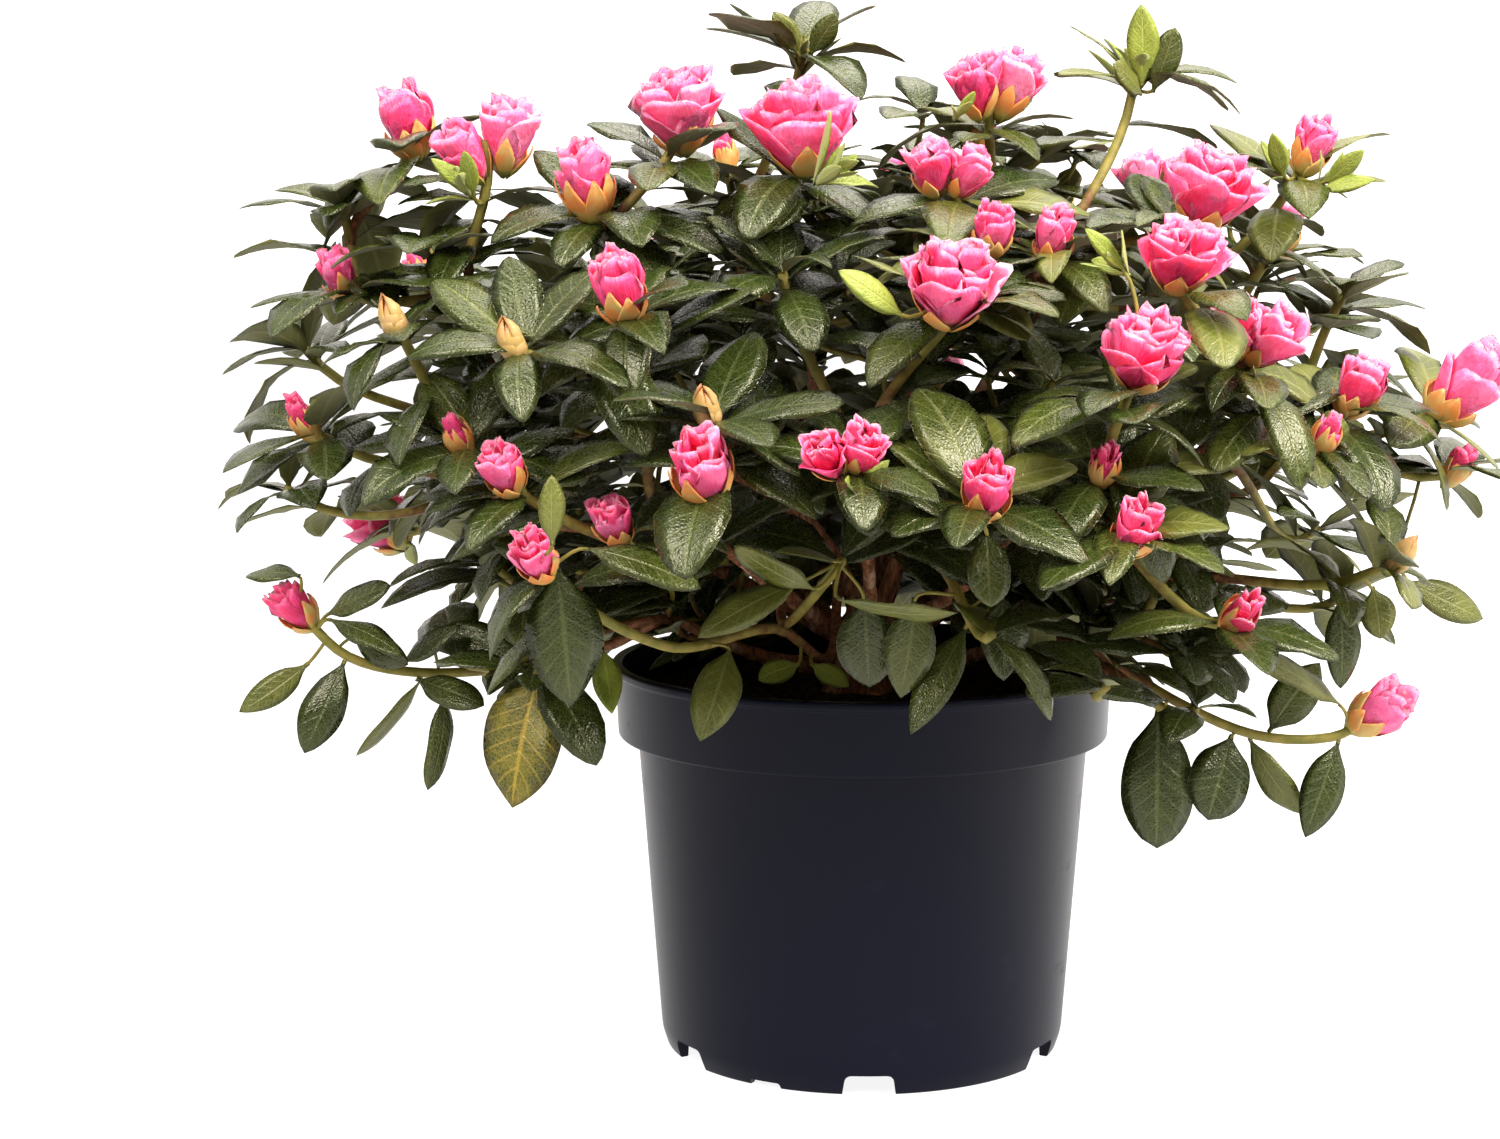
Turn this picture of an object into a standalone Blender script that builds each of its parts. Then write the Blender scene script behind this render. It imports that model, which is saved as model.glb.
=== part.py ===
"""Azalea shrub in bud and bloom, growing in a round plastic nursery pot.

The pot stands on z = 0 with its axis on the world Z axis, and the shrub's showier side faces -Y. A short trunk
stands on the soil. Boughs fork from it, and each ends where it enters a mass of foliage: a stem, the twigs that
branch from it, their leaves and the double blooms and buds at their tips. Lengths are in metres.
"""

import math
import random
from itertools import product

import bmesh
import bpy
from mathutils import Matrix, Vector
from mathutils.bvhtree import BVHTree
from mathutils.kdtree import KDTree

MM = 0.001
GAP = 0.3 * MM
GOLDEN_ANGLE = math.radians(137.5)
UP = Vector((0, 0, 1))

# Pot: a 19 cm container with a deep collar, standing on six feet.
RIM_RADIUS = 95 * MM
POT_HEIGHT = 149 * MM
COLLAR_HEIGHT = 28 * MM
COLLAR_FOOT_RADIUS = 93.7 * MM
BODY_TOP_RADIUS = 86.1 * MM
BODY_FOOT_RADIUS = 77.5 * MM
FOOT_RADIUS = 75.5 * MM
WALL = 1.6 * MM
FLOOR_UNDERSIDE = 5 * MM
CENTRE_PAD_RADIUS = 22 * MM
POT_SEGMENTS = 32
NOTCHES = 6
NOTCH_WIDTH = 20 * MM
NOTCH_HEIGHT = 7.7 * MM
NOTCH_DEPTH = 16 * MM
STEP_WIDTH = 12 * MM
STEP_HEIGHT = 2.4 * MM
STEP_BEARINGS = (240, 0, 120)

# Soil and trunk.
SOIL_TOP = 137 * MM
SOIL_BOTTOM = 8.5 * MM
SOIL_RELIEF = 1.6 * MM
TRUNK_FLARE_RADIUS = 17 * MM
TRUNK_RADIUS = 11 * MM
TRUNK_HEIGHT = 32 * MM
TRUNK_LEAN = Vector((3 * MM, -2 * MM, 0))

# Boughs and twigs.
BOUGH_BASE_RADIUS = 3.2 * MM
BOUGH_TIP_RADIUS = 2.1 * MM
BOUGH_POINTS = 6
STEM_RADIUS = 2.0 * MM
TWIG_RADIUS = 1.5 * MM
TWIG_TIP_RADIUS = 1.1 * MM
TWIG_POINTS = 4
SHORT_TWIG = 55 * MM
JOINT_TRIES = 4
LIMB_CLEARANCE = 0.8 * MM
CELL_MARGIN = 1.3 * MM

# Leaves.
LEAF_LENGTH = 56 * MM
LEAF_WIDTH = 29 * MM
LEAF_THICKNESS = 1.8 * MM
LEAF_WIDEST = 0.56
LEAF_ARCH = 3 * MM
LEAF_DROOP = 5 * MM
LEAF_STEP = 2.2 * MM
WHORL = 5
LOWER_LEAVES = 2
LEAFY_WHORL = 6
LEAF_STALK = 0.05
# A leaf that finds no room is tried again: turned round its shoot, spread further from it, and smaller.
LEAF_TRIES = (
    (0, 0, 1),
    (0, 0.3, 1),
    (-0.4, 0.15, 1),
    (0.4, 0.15, 1),
    (-0.8, 0, 0.92),
    (0.8, 0, 0.92),
    (0, 0.5, 0.9),
    (0.3, -0.3, 0.85),
    (-0.3, 0.2, 0.78),
)

# The crown is a low dome, a little wider than it is deep.
CROWN_CENTRE = Vector((-2 * MM, 0, 222 * MM))
CROWN_REACH = Vector((218 * MM, 184 * MM, 138 * MM))
CROWN_FOOT = -0.38
SHOOT_SPACING = 53 * MM
INNER_SPACING = 40 * MM

# What a shoot ends in, and how wide that is.
ENDS = {
    "open": 42 * MM,
    "opening": 33 * MM,
    "half": 25 * MM,
    "bud": 16 * MM,
    "green": 13 * MM,
    "sprig": 11 * MM,
    "leafy": 0,
}

# The shoots that show on the front and over the top, in millimetres: across, back, up and what they end in.
FRONT_SHOOTS = (
    (-165, -50, 350, "half"),
    (-135, -80, 345, "opening"),
    (-67, -85, 354, "open"),
    (-25, -100, 348, "open"),
    (-98, -105, 328, "half"),
    (-186, -80, 297, "half"),
    (-163, -122, 285, "green"),
    (-121, -150, 279, "green"),
    (-85, -155, 295, "half"),
    (-57, -165, 258, "green"),
    (42, -70, 364, "open"),
    (24, -108, 336, "opening"),
    (37, -140, 314, "half"),
    (58, -130, 311, "half"),
    (21, -172, 298, "open"),
    (113, -108, 327, "open"),
    (98, -150, 306, "open"),
    (83, -172, 276, "open"),
    (122, -145, 281, "opening"),
    (158, -50, 342, "half"),
    (162, -120, 260, "half"),
    (208, -75, 257, "opening"),
    (148, -140, 247, "bud"),
    (72, -165, 240, "bud"),
    (32, -187, 233, "half"),
    (80, -180, 220, "half"),
    (-13, -188, 247, "opening"),
    (-58, -182, 238, "opening"),
    (-123, -158, 237, "half"),
    (-112, -168, 210, "half"),
    (-206, -66, 178, "half"),
    (-199, -90, 249, "bud"),
    (-150, -140, 250, "bud"),
    (118, -150, 187, "bud"),
    (184, -62, 139, "opening"),
    (182, -105, 202, "green"),
    (215, -50, 228, "bud"),
    (-24, -30, 382, "sprig"),
    (97, -35, 374, "sprig"),
)
# Leafy shoots that fill the front of the crown and hang over the pot's rim.
LEAFY_SHOOTS = (
    (-62, -128, 172, "leafy"),
    (-8, -136, 182, "leafy"),
    (38, -138, 180, "leafy"),
    (80, -112, 158, "leafy"),
    (118, -70, 142, "leafy"),
    (-150, -64, 160, "leafy"),
    (-118, -100, 160, "leafy"),
    (-32, -112, 300, "leafy"),
    (62, -100, 262, "leafy"),
    (-72, -112, 205, "leafy"),
)
# What the shoots of the back end in, in turn.
BACK_ENDS = ("open", "half", "leafy", "opening", "green", "open", "bud", "leafy", "half")
DOME_SHOOTS = 74
INNER_SHOOTS = 30

# The masses of foliage: bearing from +X, height of the mass's middle, how far out that lies, and its seed.
MASSES = {
    "top": (200, 345, 20, 1),
    "top_right": (318, 330, 120, 1),
    "top_left": (208, 330, 130, 1),
    "top_back": (70, 335, 110, 1),
    "front": (268, 270, 165, 1),
    "front_left": (228, 240, 185, 1),
    "front_right": (312, 265, 180, 1),
    "left": (178, 245, 190, 1),
    "right": (352, 250, 205, 1),
    "back_left": (130, 245, 185, 1),
    "back": (90, 225, 170, 1),
    "back_right": (48, 245, 185, 1),
    "trail_left": (196, 165, 180, 1),
    "trail_right": (338, 150, 170, 1),
}
TOP_TIER = ("top", "top_right", "top_left", "top_back")
LOW_TIER = ("trail_left", "trail_right", "back")
SEED = 11


def clear_scene():
    for obj in list(bpy.data.objects):
        bpy.data.objects.remove(obj)


def make_collection(name):
    collection = bpy.data.collections.new(name)
    bpy.context.scene.collection.children.link(collection)
    return collection


def make_material(name, colour, roughness):
    material = bpy.data.materials.new(name)
    material.use_nodes = True
    shader = material.node_tree.nodes["Principled BSDF"]
    shader.inputs["Base Color"].default_value = (*colour, 1)
    shader.inputs["Roughness"].default_value = roughness
    shader.inputs["Metallic"].default_value = 0
    material.diffuse_color = (*colour, 1)
    return material


def add_object(name, mesh, material, collection):
    mesh.materials.append(material)
    obj = bpy.data.objects.new(name, mesh)
    collection.objects.link(obj)
    return obj


def mesh_of(obj):
    """The object's evaluated mesh."""
    graph = bpy.context.evaluated_depsgraph_get()
    return bpy.data.meshes.new_from_object(obj.evaluated_get(graph))


def welded(mesh):
    """The mesh of a curve, with its caps welded to its sides."""
    work = bmesh.new()
    work.from_mesh(mesh)
    bmesh.ops.remove_doubles(work, verts=work.verts, dist=0.002 * MM)
    work.to_mesh(mesh)
    work.free()
    return mesh


# Pot


def turned(name, profile, segments, material, collection):
    """A profile of (radius, height) turned round the Z axis. It runs down the outer side."""
    mesh = bpy.data.meshes.new(name)
    edges = [(i, i + 1) for i in range(len(profile) - 1)]
    mesh.from_pydata([(r, 0, z) for r, z in profile], edges, [])
    obj = add_object(name, mesh, material, collection)
    screw = obj.modifiers.new("turn", "SCREW")
    screw.steps = screw.render_steps = segments
    screw.use_merge_vertices = True
    screw.merge_threshold = 0.1 * MM
    return obj


def pot_profile():
    """From the middle of the floor out and up the inner wall, over the lip, down the outer side, and in underneath."""
    floor_top = FLOOR_UNDERSIDE + WALL
    collar_foot = POT_HEIGHT - COLLAR_HEIGHT
    foot_bevel = 6 * MM
    lip = 1 * MM
    return [
        (0, floor_top),
        (BODY_FOOT_RADIUS - WALL, floor_top),
        (BODY_TOP_RADIUS - WALL, collar_foot),
        (COLLAR_FOOT_RADIUS - WALL, collar_foot + 2 * WALL),
        (RIM_RADIUS - 2 * WALL, POT_HEIGHT),
        (RIM_RADIUS + lip, POT_HEIGHT),
        (RIM_RADIUS + lip, POT_HEIGHT - 3 * MM),
        (RIM_RADIUS, POT_HEIGHT - 3.6 * MM),
        (COLLAR_FOOT_RADIUS, collar_foot),
        (BODY_TOP_RADIUS, collar_foot),
        (BODY_FOOT_RADIUS, foot_bevel),
        (FOOT_RADIUS, 0),
        (FOOT_RADIUS - 2 * WALL, 0),
        (FOOT_RADIUS - 2 * WALL, FLOOR_UNDERSIDE),
        (CENTRE_PAD_RADIUS + 2 * MM, FLOOR_UNDERSIDE),
        (CENTRE_PAD_RADIUS, 0),
        (0, 0),
    ]


def notch_cutter(bearing, width, height, cutters):
    """A wedge-sided block across the foot ring, wider at the ground than at its top."""
    work = bmesh.new()
    bmesh.ops.create_cone(
        work, cap_ends=True, segments=4, radius1=width * 0.78, radius2=width * 0.62, depth=2 * height
    )
    bmesh.ops.rotate(work, verts=work.verts, matrix=Matrix.Rotation(math.radians(45), 3, "Z"))
    bmesh.ops.scale(work, verts=work.verts, vec=(NOTCH_DEPTH / width, 1, 1))
    mesh = bpy.data.meshes.new("notch")
    work.to_mesh(mesh)
    work.free()
    cutter = bpy.data.objects.new("notch_cutter", mesh)
    angle = math.radians(bearing)
    cutter.location = (FOOT_RADIUS * math.cos(angle), FOOT_RADIUS * math.sin(angle), 0)
    cutter.rotation_euler.z = angle
    cutter.hide_render = True
    cutter.display_type = "WIRE"
    cutters.objects.link(cutter)


def make_pot(collection, cutters, material):
    pot = turned("pot", pot_profile(), POT_SEGMENTS, material, collection)
    for i in range(NOTCHES):
        notch_cutter(-90 + i * 360 / NOTCHES, NOTCH_WIDTH, NOTCH_HEIGHT, cutters)
    for bearing in STEP_BEARINGS:
        notch_cutter(bearing, STEP_WIDTH, STEP_HEIGHT, cutters)
    cut = pot.modifiers.new("notches", "BOOLEAN")
    cut.operation = "DIFFERENCE"
    cut.operand_type = "COLLECTION"
    cut.collection = cutters
    return pot


def inner_radius(height):
    """The radius of the pot's inner wall at a height on its body."""
    floor_top = FLOOR_UNDERSIDE + WALL
    share = (height - floor_top) / (POT_HEIGHT - COLLAR_HEIGHT - floor_top)
    return BODY_FOOT_RADIUS + (BODY_TOP_RADIUS - BODY_FOOT_RADIUS) * share - WALL


def make_soil(collection, material):
    """Compost that fills the pot to just under the collar's lip, flat under the trunk and uneven round it."""
    rng = random.Random(SEED)
    collar_foot = POT_HEIGHT - COLLAR_HEIGHT
    clear = 2 * GAP
    mouth_radius = COLLAR_FOOT_RADIUS - WALL - clear
    profile = [
        (0, SOIL_TOP),
        (TRUNK_FLARE_RADIUS + 6 * MM, SOIL_TOP),
        (mouth_radius * 0.6, SOIL_TOP),
        (mouth_radius * 0.85, SOIL_TOP - SOIL_RELIEF),
        (mouth_radius, SOIL_TOP - 2 * SOIL_RELIEF),
        (mouth_radius, collar_foot + 2 * WALL + clear),
        (inner_radius(collar_foot) - clear, collar_foot),
        (inner_radius(SOIL_BOTTOM) - clear, SOIL_BOTTOM),
        (0, SOIL_BOTTOM),
    ]
    soil = turned("soil", profile, 20, material, collection)
    soil.data = mesh_of(soil)
    soil.modifiers.clear()
    for vertex in soil.data.vertices:
        out = vertex.co.xy.length
        if vertex.co.z > SOIL_TOP - 1.5 * SOIL_RELIEF and out > TRUNK_FLARE_RADIUS + 7 * MM:
            vertex.co.z += rng.uniform(-SOIL_RELIEF, SOIL_RELIEF)
    return soil


# Trunk and boughs


def trunk_axis(rise):
    """The middle of the leaning trunk at a height above the soil."""
    return Vector((0, 0, SOIL_TOP + GAP + rise)) + TRUNK_LEAN * (rise / TRUNK_HEIGHT)


def make_trunk(collection, material):
    """A squat tapered trunk with a root flare that runs out in five low buttresses."""
    trunk = bpy.data.objects.new("trunk", bpy.data.meshes.new("trunk"))
    work = bmesh.new()
    levels = 5
    bmesh.ops.create_cone(work, cap_ends=True, segments=15, radius1=1, radius2=1, depth=2)
    sides = [e for e in work.edges if abs(e.verts[0].co.z - e.verts[1].co.z) > 1]
    bmesh.ops.subdivide_edges(work, edges=sides, cuts=levels - 1)
    for vertex in work.verts:
        rise = (vertex.co.z + 1) / 2
        bearing = math.atan2(vertex.co.y, vertex.co.x)
        flare = (1 - rise) ** 3
        radius = TRUNK_RADIUS + (TRUNK_FLARE_RADIUS - TRUNK_RADIUS) * flare
        radius *= 1 + 0.16 * flare * math.cos(5 * bearing)
        middle = trunk_axis(rise * TRUNK_HEIGHT)
        vertex.co = middle + Vector((radius * math.cos(bearing), radius * math.sin(bearing), 0))
    work.to_mesh(trunk.data)
    work.free()
    trunk.data.materials.append(material)
    collection.objects.link(trunk)
    return trunk


def curve_points(start, control, end, count):
    """Points along the quadratic curve that leaves start towards control."""
    points = []
    for i in range(count):
        t = i / (count - 1)
        points.append(start * (1 - t) ** 2 + control * 2 * t * (1 - t) + end * t * t)
    return points


def tube(name, points, radii, bevel_resolution):
    """A curve object with round section, thinner towards its end."""
    curve = bpy.data.curves.new(name, "CURVE")
    curve.dimensions = "3D"
    curve.bevel_depth = 1
    curve.bevel_resolution = bevel_resolution
    curve.use_fill_caps = True
    spline = curve.splines.new("POLY")
    spline.points.add(len(points) - 1)
    for target, place, radius in zip(spline.points, points, radii):
        target.co = (*place, 1)
        target.radius = radius
    return bpy.data.objects.new(name, curve)


def taper(start, end, count):
    return [start + (end - start) * i / (count - 1) for i in range(count)]


def flat_direction(bearing):
    return Vector((math.cos(bearing), math.sin(bearing), 0))


def bough_route(name, entry):
    """Points from the trunk's side or top to where the bough enters its mass."""
    bearing = math.atan2(entry.y, entry.x)
    out = flat_direction(bearing)
    if name == "top":
        start = trunk_axis(TRUNK_HEIGHT) + UP * GAP
        heading = UP
    elif name in TOP_TIER:
        start = trunk_axis(TRUNK_HEIGHT) + UP * 1.6 * MM + out * 7 * MM
        heading = UP + out * 0.35
    else:
        rise = (0.3 if name in LOW_TIER else 0.68) * TRUNK_HEIGHT
        flare = (1 - rise / TRUNK_HEIGHT) ** 3
        radius = TRUNK_RADIUS + (TRUNK_FLARE_RADIUS - TRUNK_RADIUS) * flare * 1.16
        start = trunk_axis(rise) + out * (radius + 2.6 * MM)
        heading = UP * (0.12 if name in LOW_TIER else 0.55) + out
    reach = (entry - start).length
    return curve_points(start, start + heading.normalized() * reach * 0.5, entry, BOUGH_POINTS)


def make_bough(name, route, collection, material):
    radii = taper(BOUGH_BASE_RADIUS, BOUGH_TIP_RADIUS, len(route))
    source = tube("bough_curve", route, radii, 1)
    collection.objects.link(source)
    mesh = welded(mesh_of(source))
    bpy.data.objects.remove(source)
    return add_object("bough_" + name, mesh, material, collection)


# Where the shoots are


def near(place, shoots, distance):
    return any((place - other["tip"]).length < distance for other in shoots)


def on_dome(share, turn, depth):
    """A point of the crown's dome. Share runs from its foot, 0, to its top, 1."""
    rise = CROWN_FOOT + (1 - CROWN_FOOT) * share
    ring = math.sqrt(1 - rise * rise) if rise > 0 else 1 + 0.35 * rise
    unit = Vector((ring * math.cos(turn), ring * math.sin(turn), rise))
    return CROWN_CENTRE + Vector(a * b for a, b in zip(unit, CROWN_REACH)) * depth


def plan_shoots(rng):
    """Every shoot's tip and what it ends in. The back of the crown follows the golden-angle spiral."""
    shoots = []
    for across, back, up, end in FRONT_SHOOTS + LEAFY_SHOOTS:
        shoots.append({"tip": Vector((across, back, up)) * MM, "end": end})
    for i in range(DOME_SHOOTS):
        tip = on_dome((i + 0.5) / DOME_SHOOTS, i * GOLDEN_ANGLE, rng.uniform(0.93, 1.03))
        if not near(tip, shoots, SHOOT_SPACING):
            end = BACK_ENDS[i % len(BACK_ENDS)] if tip.y > -20 * MM else "leafy"
            shoots.append({"tip": tip, "end": end})
    for i in range(INNER_SHOOTS):
        tip = on_dome((i + 0.5) / INNER_SHOOTS, i * GOLDEN_ANGLE + 1, rng.uniform(0.66, 0.78))
        if not near(tip, shoots, INNER_SPACING):
            shoots.append({"tip": tip, "end": "leafy"})
    for shoot in shoots:
        outward = shoot["tip"] - CROWN_CENTRE
        outward.x /= CROWN_REACH.x
        outward.y /= CROWN_REACH.y
        outward.z /= CROWN_REACH.z
        outward.z = max(outward.z, -0.2)
        shoot["axis"] = (outward.normalized() + UP * 0.75).normalized()
        if shoot["end"] == "sprig":
            shoot["axis"] = (UP + outward * 0.1).normalized()
    return shoots


def mass_middle(name):
    bearing, height, reach, _ = MASSES[name]
    return flat_direction(math.radians(bearing)) * reach * MM + UP * height * MM


def share_out(shoots):
    """Gives each shoot to the mass whose middle is nearest."""
    for shoot in shoots:
        shoot["mass"] = min(MASSES, key=lambda name: (shoot["tip"] - mass_middle(name)).length)


def cell_tree(shoots):
    """A tree of all tips. A mass's space is what lies nearer to its own tips than to any other mass's."""
    tree = KDTree(len(shoots))
    for i, shoot in enumerate(shoots):
        tree.insert(shoot["tip"], i)
    tree.balance()
    return tree


def in_cell(place, name, tree, shoots):
    own = other = None
    for _, i, distance in tree.find_n(place, len(shoots)):
        if shoots[i]["mass"] == name:
            own = distance if own is None else own
        else:
            other = distance if other is None else other
        if own is not None and other is not None:
            return other - own > CELL_MARGIN
    return True


# Leaves and blooms


def unit_sphere(segments, rings):
    work = bmesh.new()
    bmesh.ops.create_uvsphere(work, u_segments=segments, v_segments=rings, radius=1)
    bmesh.ops.triangulate(work, faces=work.faces)
    corners = [v.co.copy() for v in work.verts]
    faces = [[v.index for v in f.verts] for f in work.faces]
    work.free()
    return corners, faces


def leaf_corner(unit, length, width):
    """Takes a corner of a three-sided double cone to its place on a leaf along +X with a keel under it."""
    if abs(unit.z) > 0.5:
        return Vector((length, 0, -LEAF_DROOP)) if unit.z > 0 else Vector((0, 0, 0))
    if abs(unit.x) > 0.5:
        return Vector((LEAF_WIDEST * length, -math.copysign(width / 2, unit.x), LEAF_ARCH))
    return Vector((0.45 * length, 0, LEAF_ARCH - LEAF_THICKNESS))


def bloom_corner(unit, width, end):
    """Takes a corner of a sphere to its place on a bloom or bud that stands on +Z."""
    bearing = math.atan2(unit.y, unit.x)
    open_bloom = end in ("open", "opening")
    ruffle = 1 + (0.13 * math.cos(3 * bearing) if open_bloom else 0.05 * math.cos(3 * bearing))
    belly = 1 + 0.22 * unit.z if open_bloom else 1 - 0.18 * unit.z
    height = width * (0.42 if open_bloom else 0.72)
    top = 0.45 if open_bloom and unit.z > 0.99 else 1
    flat = Vector((unit.x, unit.y, 0)) * width / 2 * ruffle * belly
    return flat + UP * height * unit.z * top


def frame_of(along, face):
    """Axes that lie along the leaf, across it and out of its upper face."""
    side = face.cross(along).normalized()
    return Matrix((along, side, along.cross(side))).transposed()


def leaf_axes(axis, turn, spread, droop):
    """The frame of a leaf that leaves a shoot at a turn round it, spread from its tip and bowed by its weight."""
    side = axis.orthogonal().normalized()
    out = side * math.cos(turn) + axis.cross(side) * math.sin(turn)
    along = (axis * math.cos(spread) + out * math.sin(spread) - UP * droop).normalized()
    face = axis * math.sin(spread) - out * math.cos(spread)
    if face.z < 0:
        face += UP * 0.5
    return frame_of(along, face)


class Mass:
    """One mass of foliage while it grows: its pieces, and what they have to keep clear of."""

    def __init__(self, name, tree, shoots, guards):
        self.name, self.tree, self.shoots, self.guards = name, tree, shoots, guards
        self.pieces, self.blades = [], []
        self.joints = []

    def keeps_space(self, corners, faces):
        """Whether a piece stays in this mass's cell and touches no limb, pot or soil."""
        middles = [(corners[a] + corners[b]) / 2 for face in faces for a, b in zip(face, face[1:])]
        if not all(in_cell(p, self.name, self.tree, self.shoots) for p in corners + middles):
            return False
        shape = BVHTree.FromPolygons(corners, faces)
        return not any(guard.overlap(shape) for guard in self.guards)

    def add(self, kind, corners, faces):
        self.pieces.append((kind, corners, faces))

    def add_leaf(self, root, axes, length, width):
        """Adds the leaf unless it leaves the cell or crosses another leaf's blade."""
        unit, faces = LEAF_SHAPE
        sunk = root - axes.col[0] * TWIG_TIP_RADIUS * 0.35
        corners = [sunk + axes @ leaf_corner(u, length, width) for u in unit]
        if not self.keeps_space(corners, faces):
            return False
        tip = max(corners, key=lambda corner: (corner - sunk).length)
        free = [c.lerp(tip, LEAF_STALK) if (c - sunk).length < 1 * MM else c for c in corners]
        blade = BVHTree.FromPolygons(free, faces)
        if any(blade.overlap(other) for other in self.blades):
            return False
        self.blades.append(blade)
        self.add("leaf", corners, faces)
        return True

    def add_bloom(self, shoot):
        unit, faces = BLOOM_SHAPE if shoot["end"] in ("open", "opening") else BUD_SHAPE
        axis = shoot["axis"]
        turn = axis.to_track_quat("Z", "Y").to_matrix()
        for size in (1, 0.8, 0.62):
            width = ENDS[shoot["end"]] * size
            corners = [shoot["tip"] + turn @ bloom_corner(u, width, shoot["end"]) for u in unit]
            if self.keeps_space(corners, faces):
                self.blades.append(BVHTree.FromPolygons(corners, faces))
                self.add("bloom", corners, faces)
                return width
        return 0

    def add_joints(self, points):
        """The inner points of a twig, each with the twig's heading there."""
        for before, place, after in zip(points, points[1:], points[2:]):
            self.joints.append((place, (after - before).normalized()))

    def best_joints(self, tip):
        """The joints from which a twig runs to a tip with the least length and turn."""
        fork = trunk_axis(TRUNK_HEIGHT)

        def cost(joint):
            place, heading = joint
            way = tip - place
            beyond = max(0, (place - fork).length - (tip - fork).length + 12 * MM)
            return way.length * (1.7 - 0.7 * way.normalized().dot(heading)) + 3 * beyond

        return sorted(self.joints, key=cost)[:JOINT_TRIES]


def twig_shape(points, radii):
    """A three-sided tapering twig as (corners, faces), from a curve with a triangle for its section."""
    section = bpy.data.curves.new("section", "CURVE")
    section.dimensions = "2D"
    ring = section.splines.new("POLY")
    ring.points.add(2)
    for i in range(3):
        angle = i * math.tau / 3
        ring.points[i].co = (math.cos(angle), math.sin(angle), 0, 1)
    ring.use_cyclic_u = True
    outline = bpy.data.objects.new("section", section)
    rod = tube("twig", points, radii, 0)
    rod.data.bevel_mode = "OBJECT"
    rod.data.bevel_object = outline
    bpy.context.scene.collection.objects.link(outline)
    bpy.context.scene.collection.objects.link(rod)
    mesh = welded(mesh_of(rod))
    work = bmesh.new()
    work.from_mesh(mesh)
    bmesh.ops.triangulate(work, faces=work.faces)
    bmesh.ops.recalc_face_normals(work, faces=work.faces)
    corners = [v.co.copy() for v in work.verts]
    faces = [[v.index for v in f.verts] for f in work.faces]
    work.free()
    for helper in (rod, outline):
        bpy.data.objects.remove(helper)
    return corners, faces


def twig_points(joint, tip, axis, bend):
    """Points of a twig that leaves its joint along the parent's heading and ends along the shoot's axis."""
    place, heading = joint
    reach = (tip - place).length * bend
    first, last = place + heading * reach, tip - axis * reach
    points = []
    count = TWIG_POINTS if (tip - place).length > SHORT_TWIG else TWIG_POINTS - 1
    for i in range(count):
        t = i / (count - 1)
        u = 1 - t
        points.append(place * u**3 + first * 3 * u * u * t + last * 3 * u * t * t + tip * t**3)
    return points


def grow_twig(mass, tip, axis):
    """A twig from one of the nearest joints to a shoot's tip. Returns its points, or None if it can't pass."""
    for joint, bend in product(mass.best_joints(tip), (0.4, 0.25, 0)):
        points = twig_points(joint, tip, axis, bend)
        corners, faces = twig_shape(points, taper(TWIG_RADIUS, TWIG_TIP_RADIUS, len(points)))
        if mass.keeps_space(corners, faces):
            mass.add("twig", corners, faces)
            mass.blades.append(BVHTree.FromPolygons(corners, faces))
            mass.add_joints(points)
            return points
    return None


def dress_shoot(mass, shoot, points, width, rng):
    """The whorl of leaves under a shoot's bloom, and the leaves down its twig."""
    axis = shoot["axis"]
    below = (points[-2] - points[-1]).normalized()
    count = WHORL if width else LEAFY_WHORL
    turn = rng.uniform(0, math.tau)
    for i in range(count + (LOWER_LEAVES if width else 0)):
        low = max(0, i - count + 1)
        down = width * 0.34 + 1 * MM + i * LEAF_STEP + low * 6 * MM
        if low and down > (points[-2] - points[-1]).length * 0.9:
            break
        root = points[-1] + below * down
        scale = rng.uniform(0.82, 1.08)
        spread = math.radians(rng.uniform(62, 80) + 6 * low)
        for tilt, open_out, size in LEAF_TRIES:
            axes = leaf_axes(axis, turn + i * GOLDEN_ANGLE + tilt, spread + open_out, 0.12)
            if mass.add_leaf(root, axes, LEAF_LENGTH * scale * size, LEAF_WIDTH * scale * size):
                break


def grow_mass(name, entry, heading, shoots, tree, guards):
    """Grows one mass: a stem that goes on from its bough's tip, and a twig for each shoot."""
    rng = random.Random(MASSES[name][3])
    mass = Mass(name, tree, shoots, guards)
    own = sorted((s for s in shoots if s["mass"] == name), key=lambda s: (s["tip"] - entry).length)
    start = entry + heading * GAP
    middle = sum((s["tip"] for s in own), Vector()) / len(own)
    hub = start + (middle - start) * 0.4
    straight = start + heading * 5 * MM
    stem = [start] + twig_points((straight, heading), hub, (middle - start).normalized(), 0.35)
    corners, faces = twig_shape(stem, taper(STEM_RADIUS, TWIG_RADIUS, len(stem)))
    mass.add("stem", corners, faces)
    mass.add_joints(stem)
    grown = []
    for shoot in own:
        points = grow_twig(mass, shoot["tip"], shoot["axis"])
        if points is not None:
            width = mass.add_bloom(shoot) if ENDS[shoot["end"]] else 0
            grown.append((shoot, points, width))
    for shoot, points, width in grown:
        dress_shoot(mass, shoot, points, width, rng)
    return mass


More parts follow.
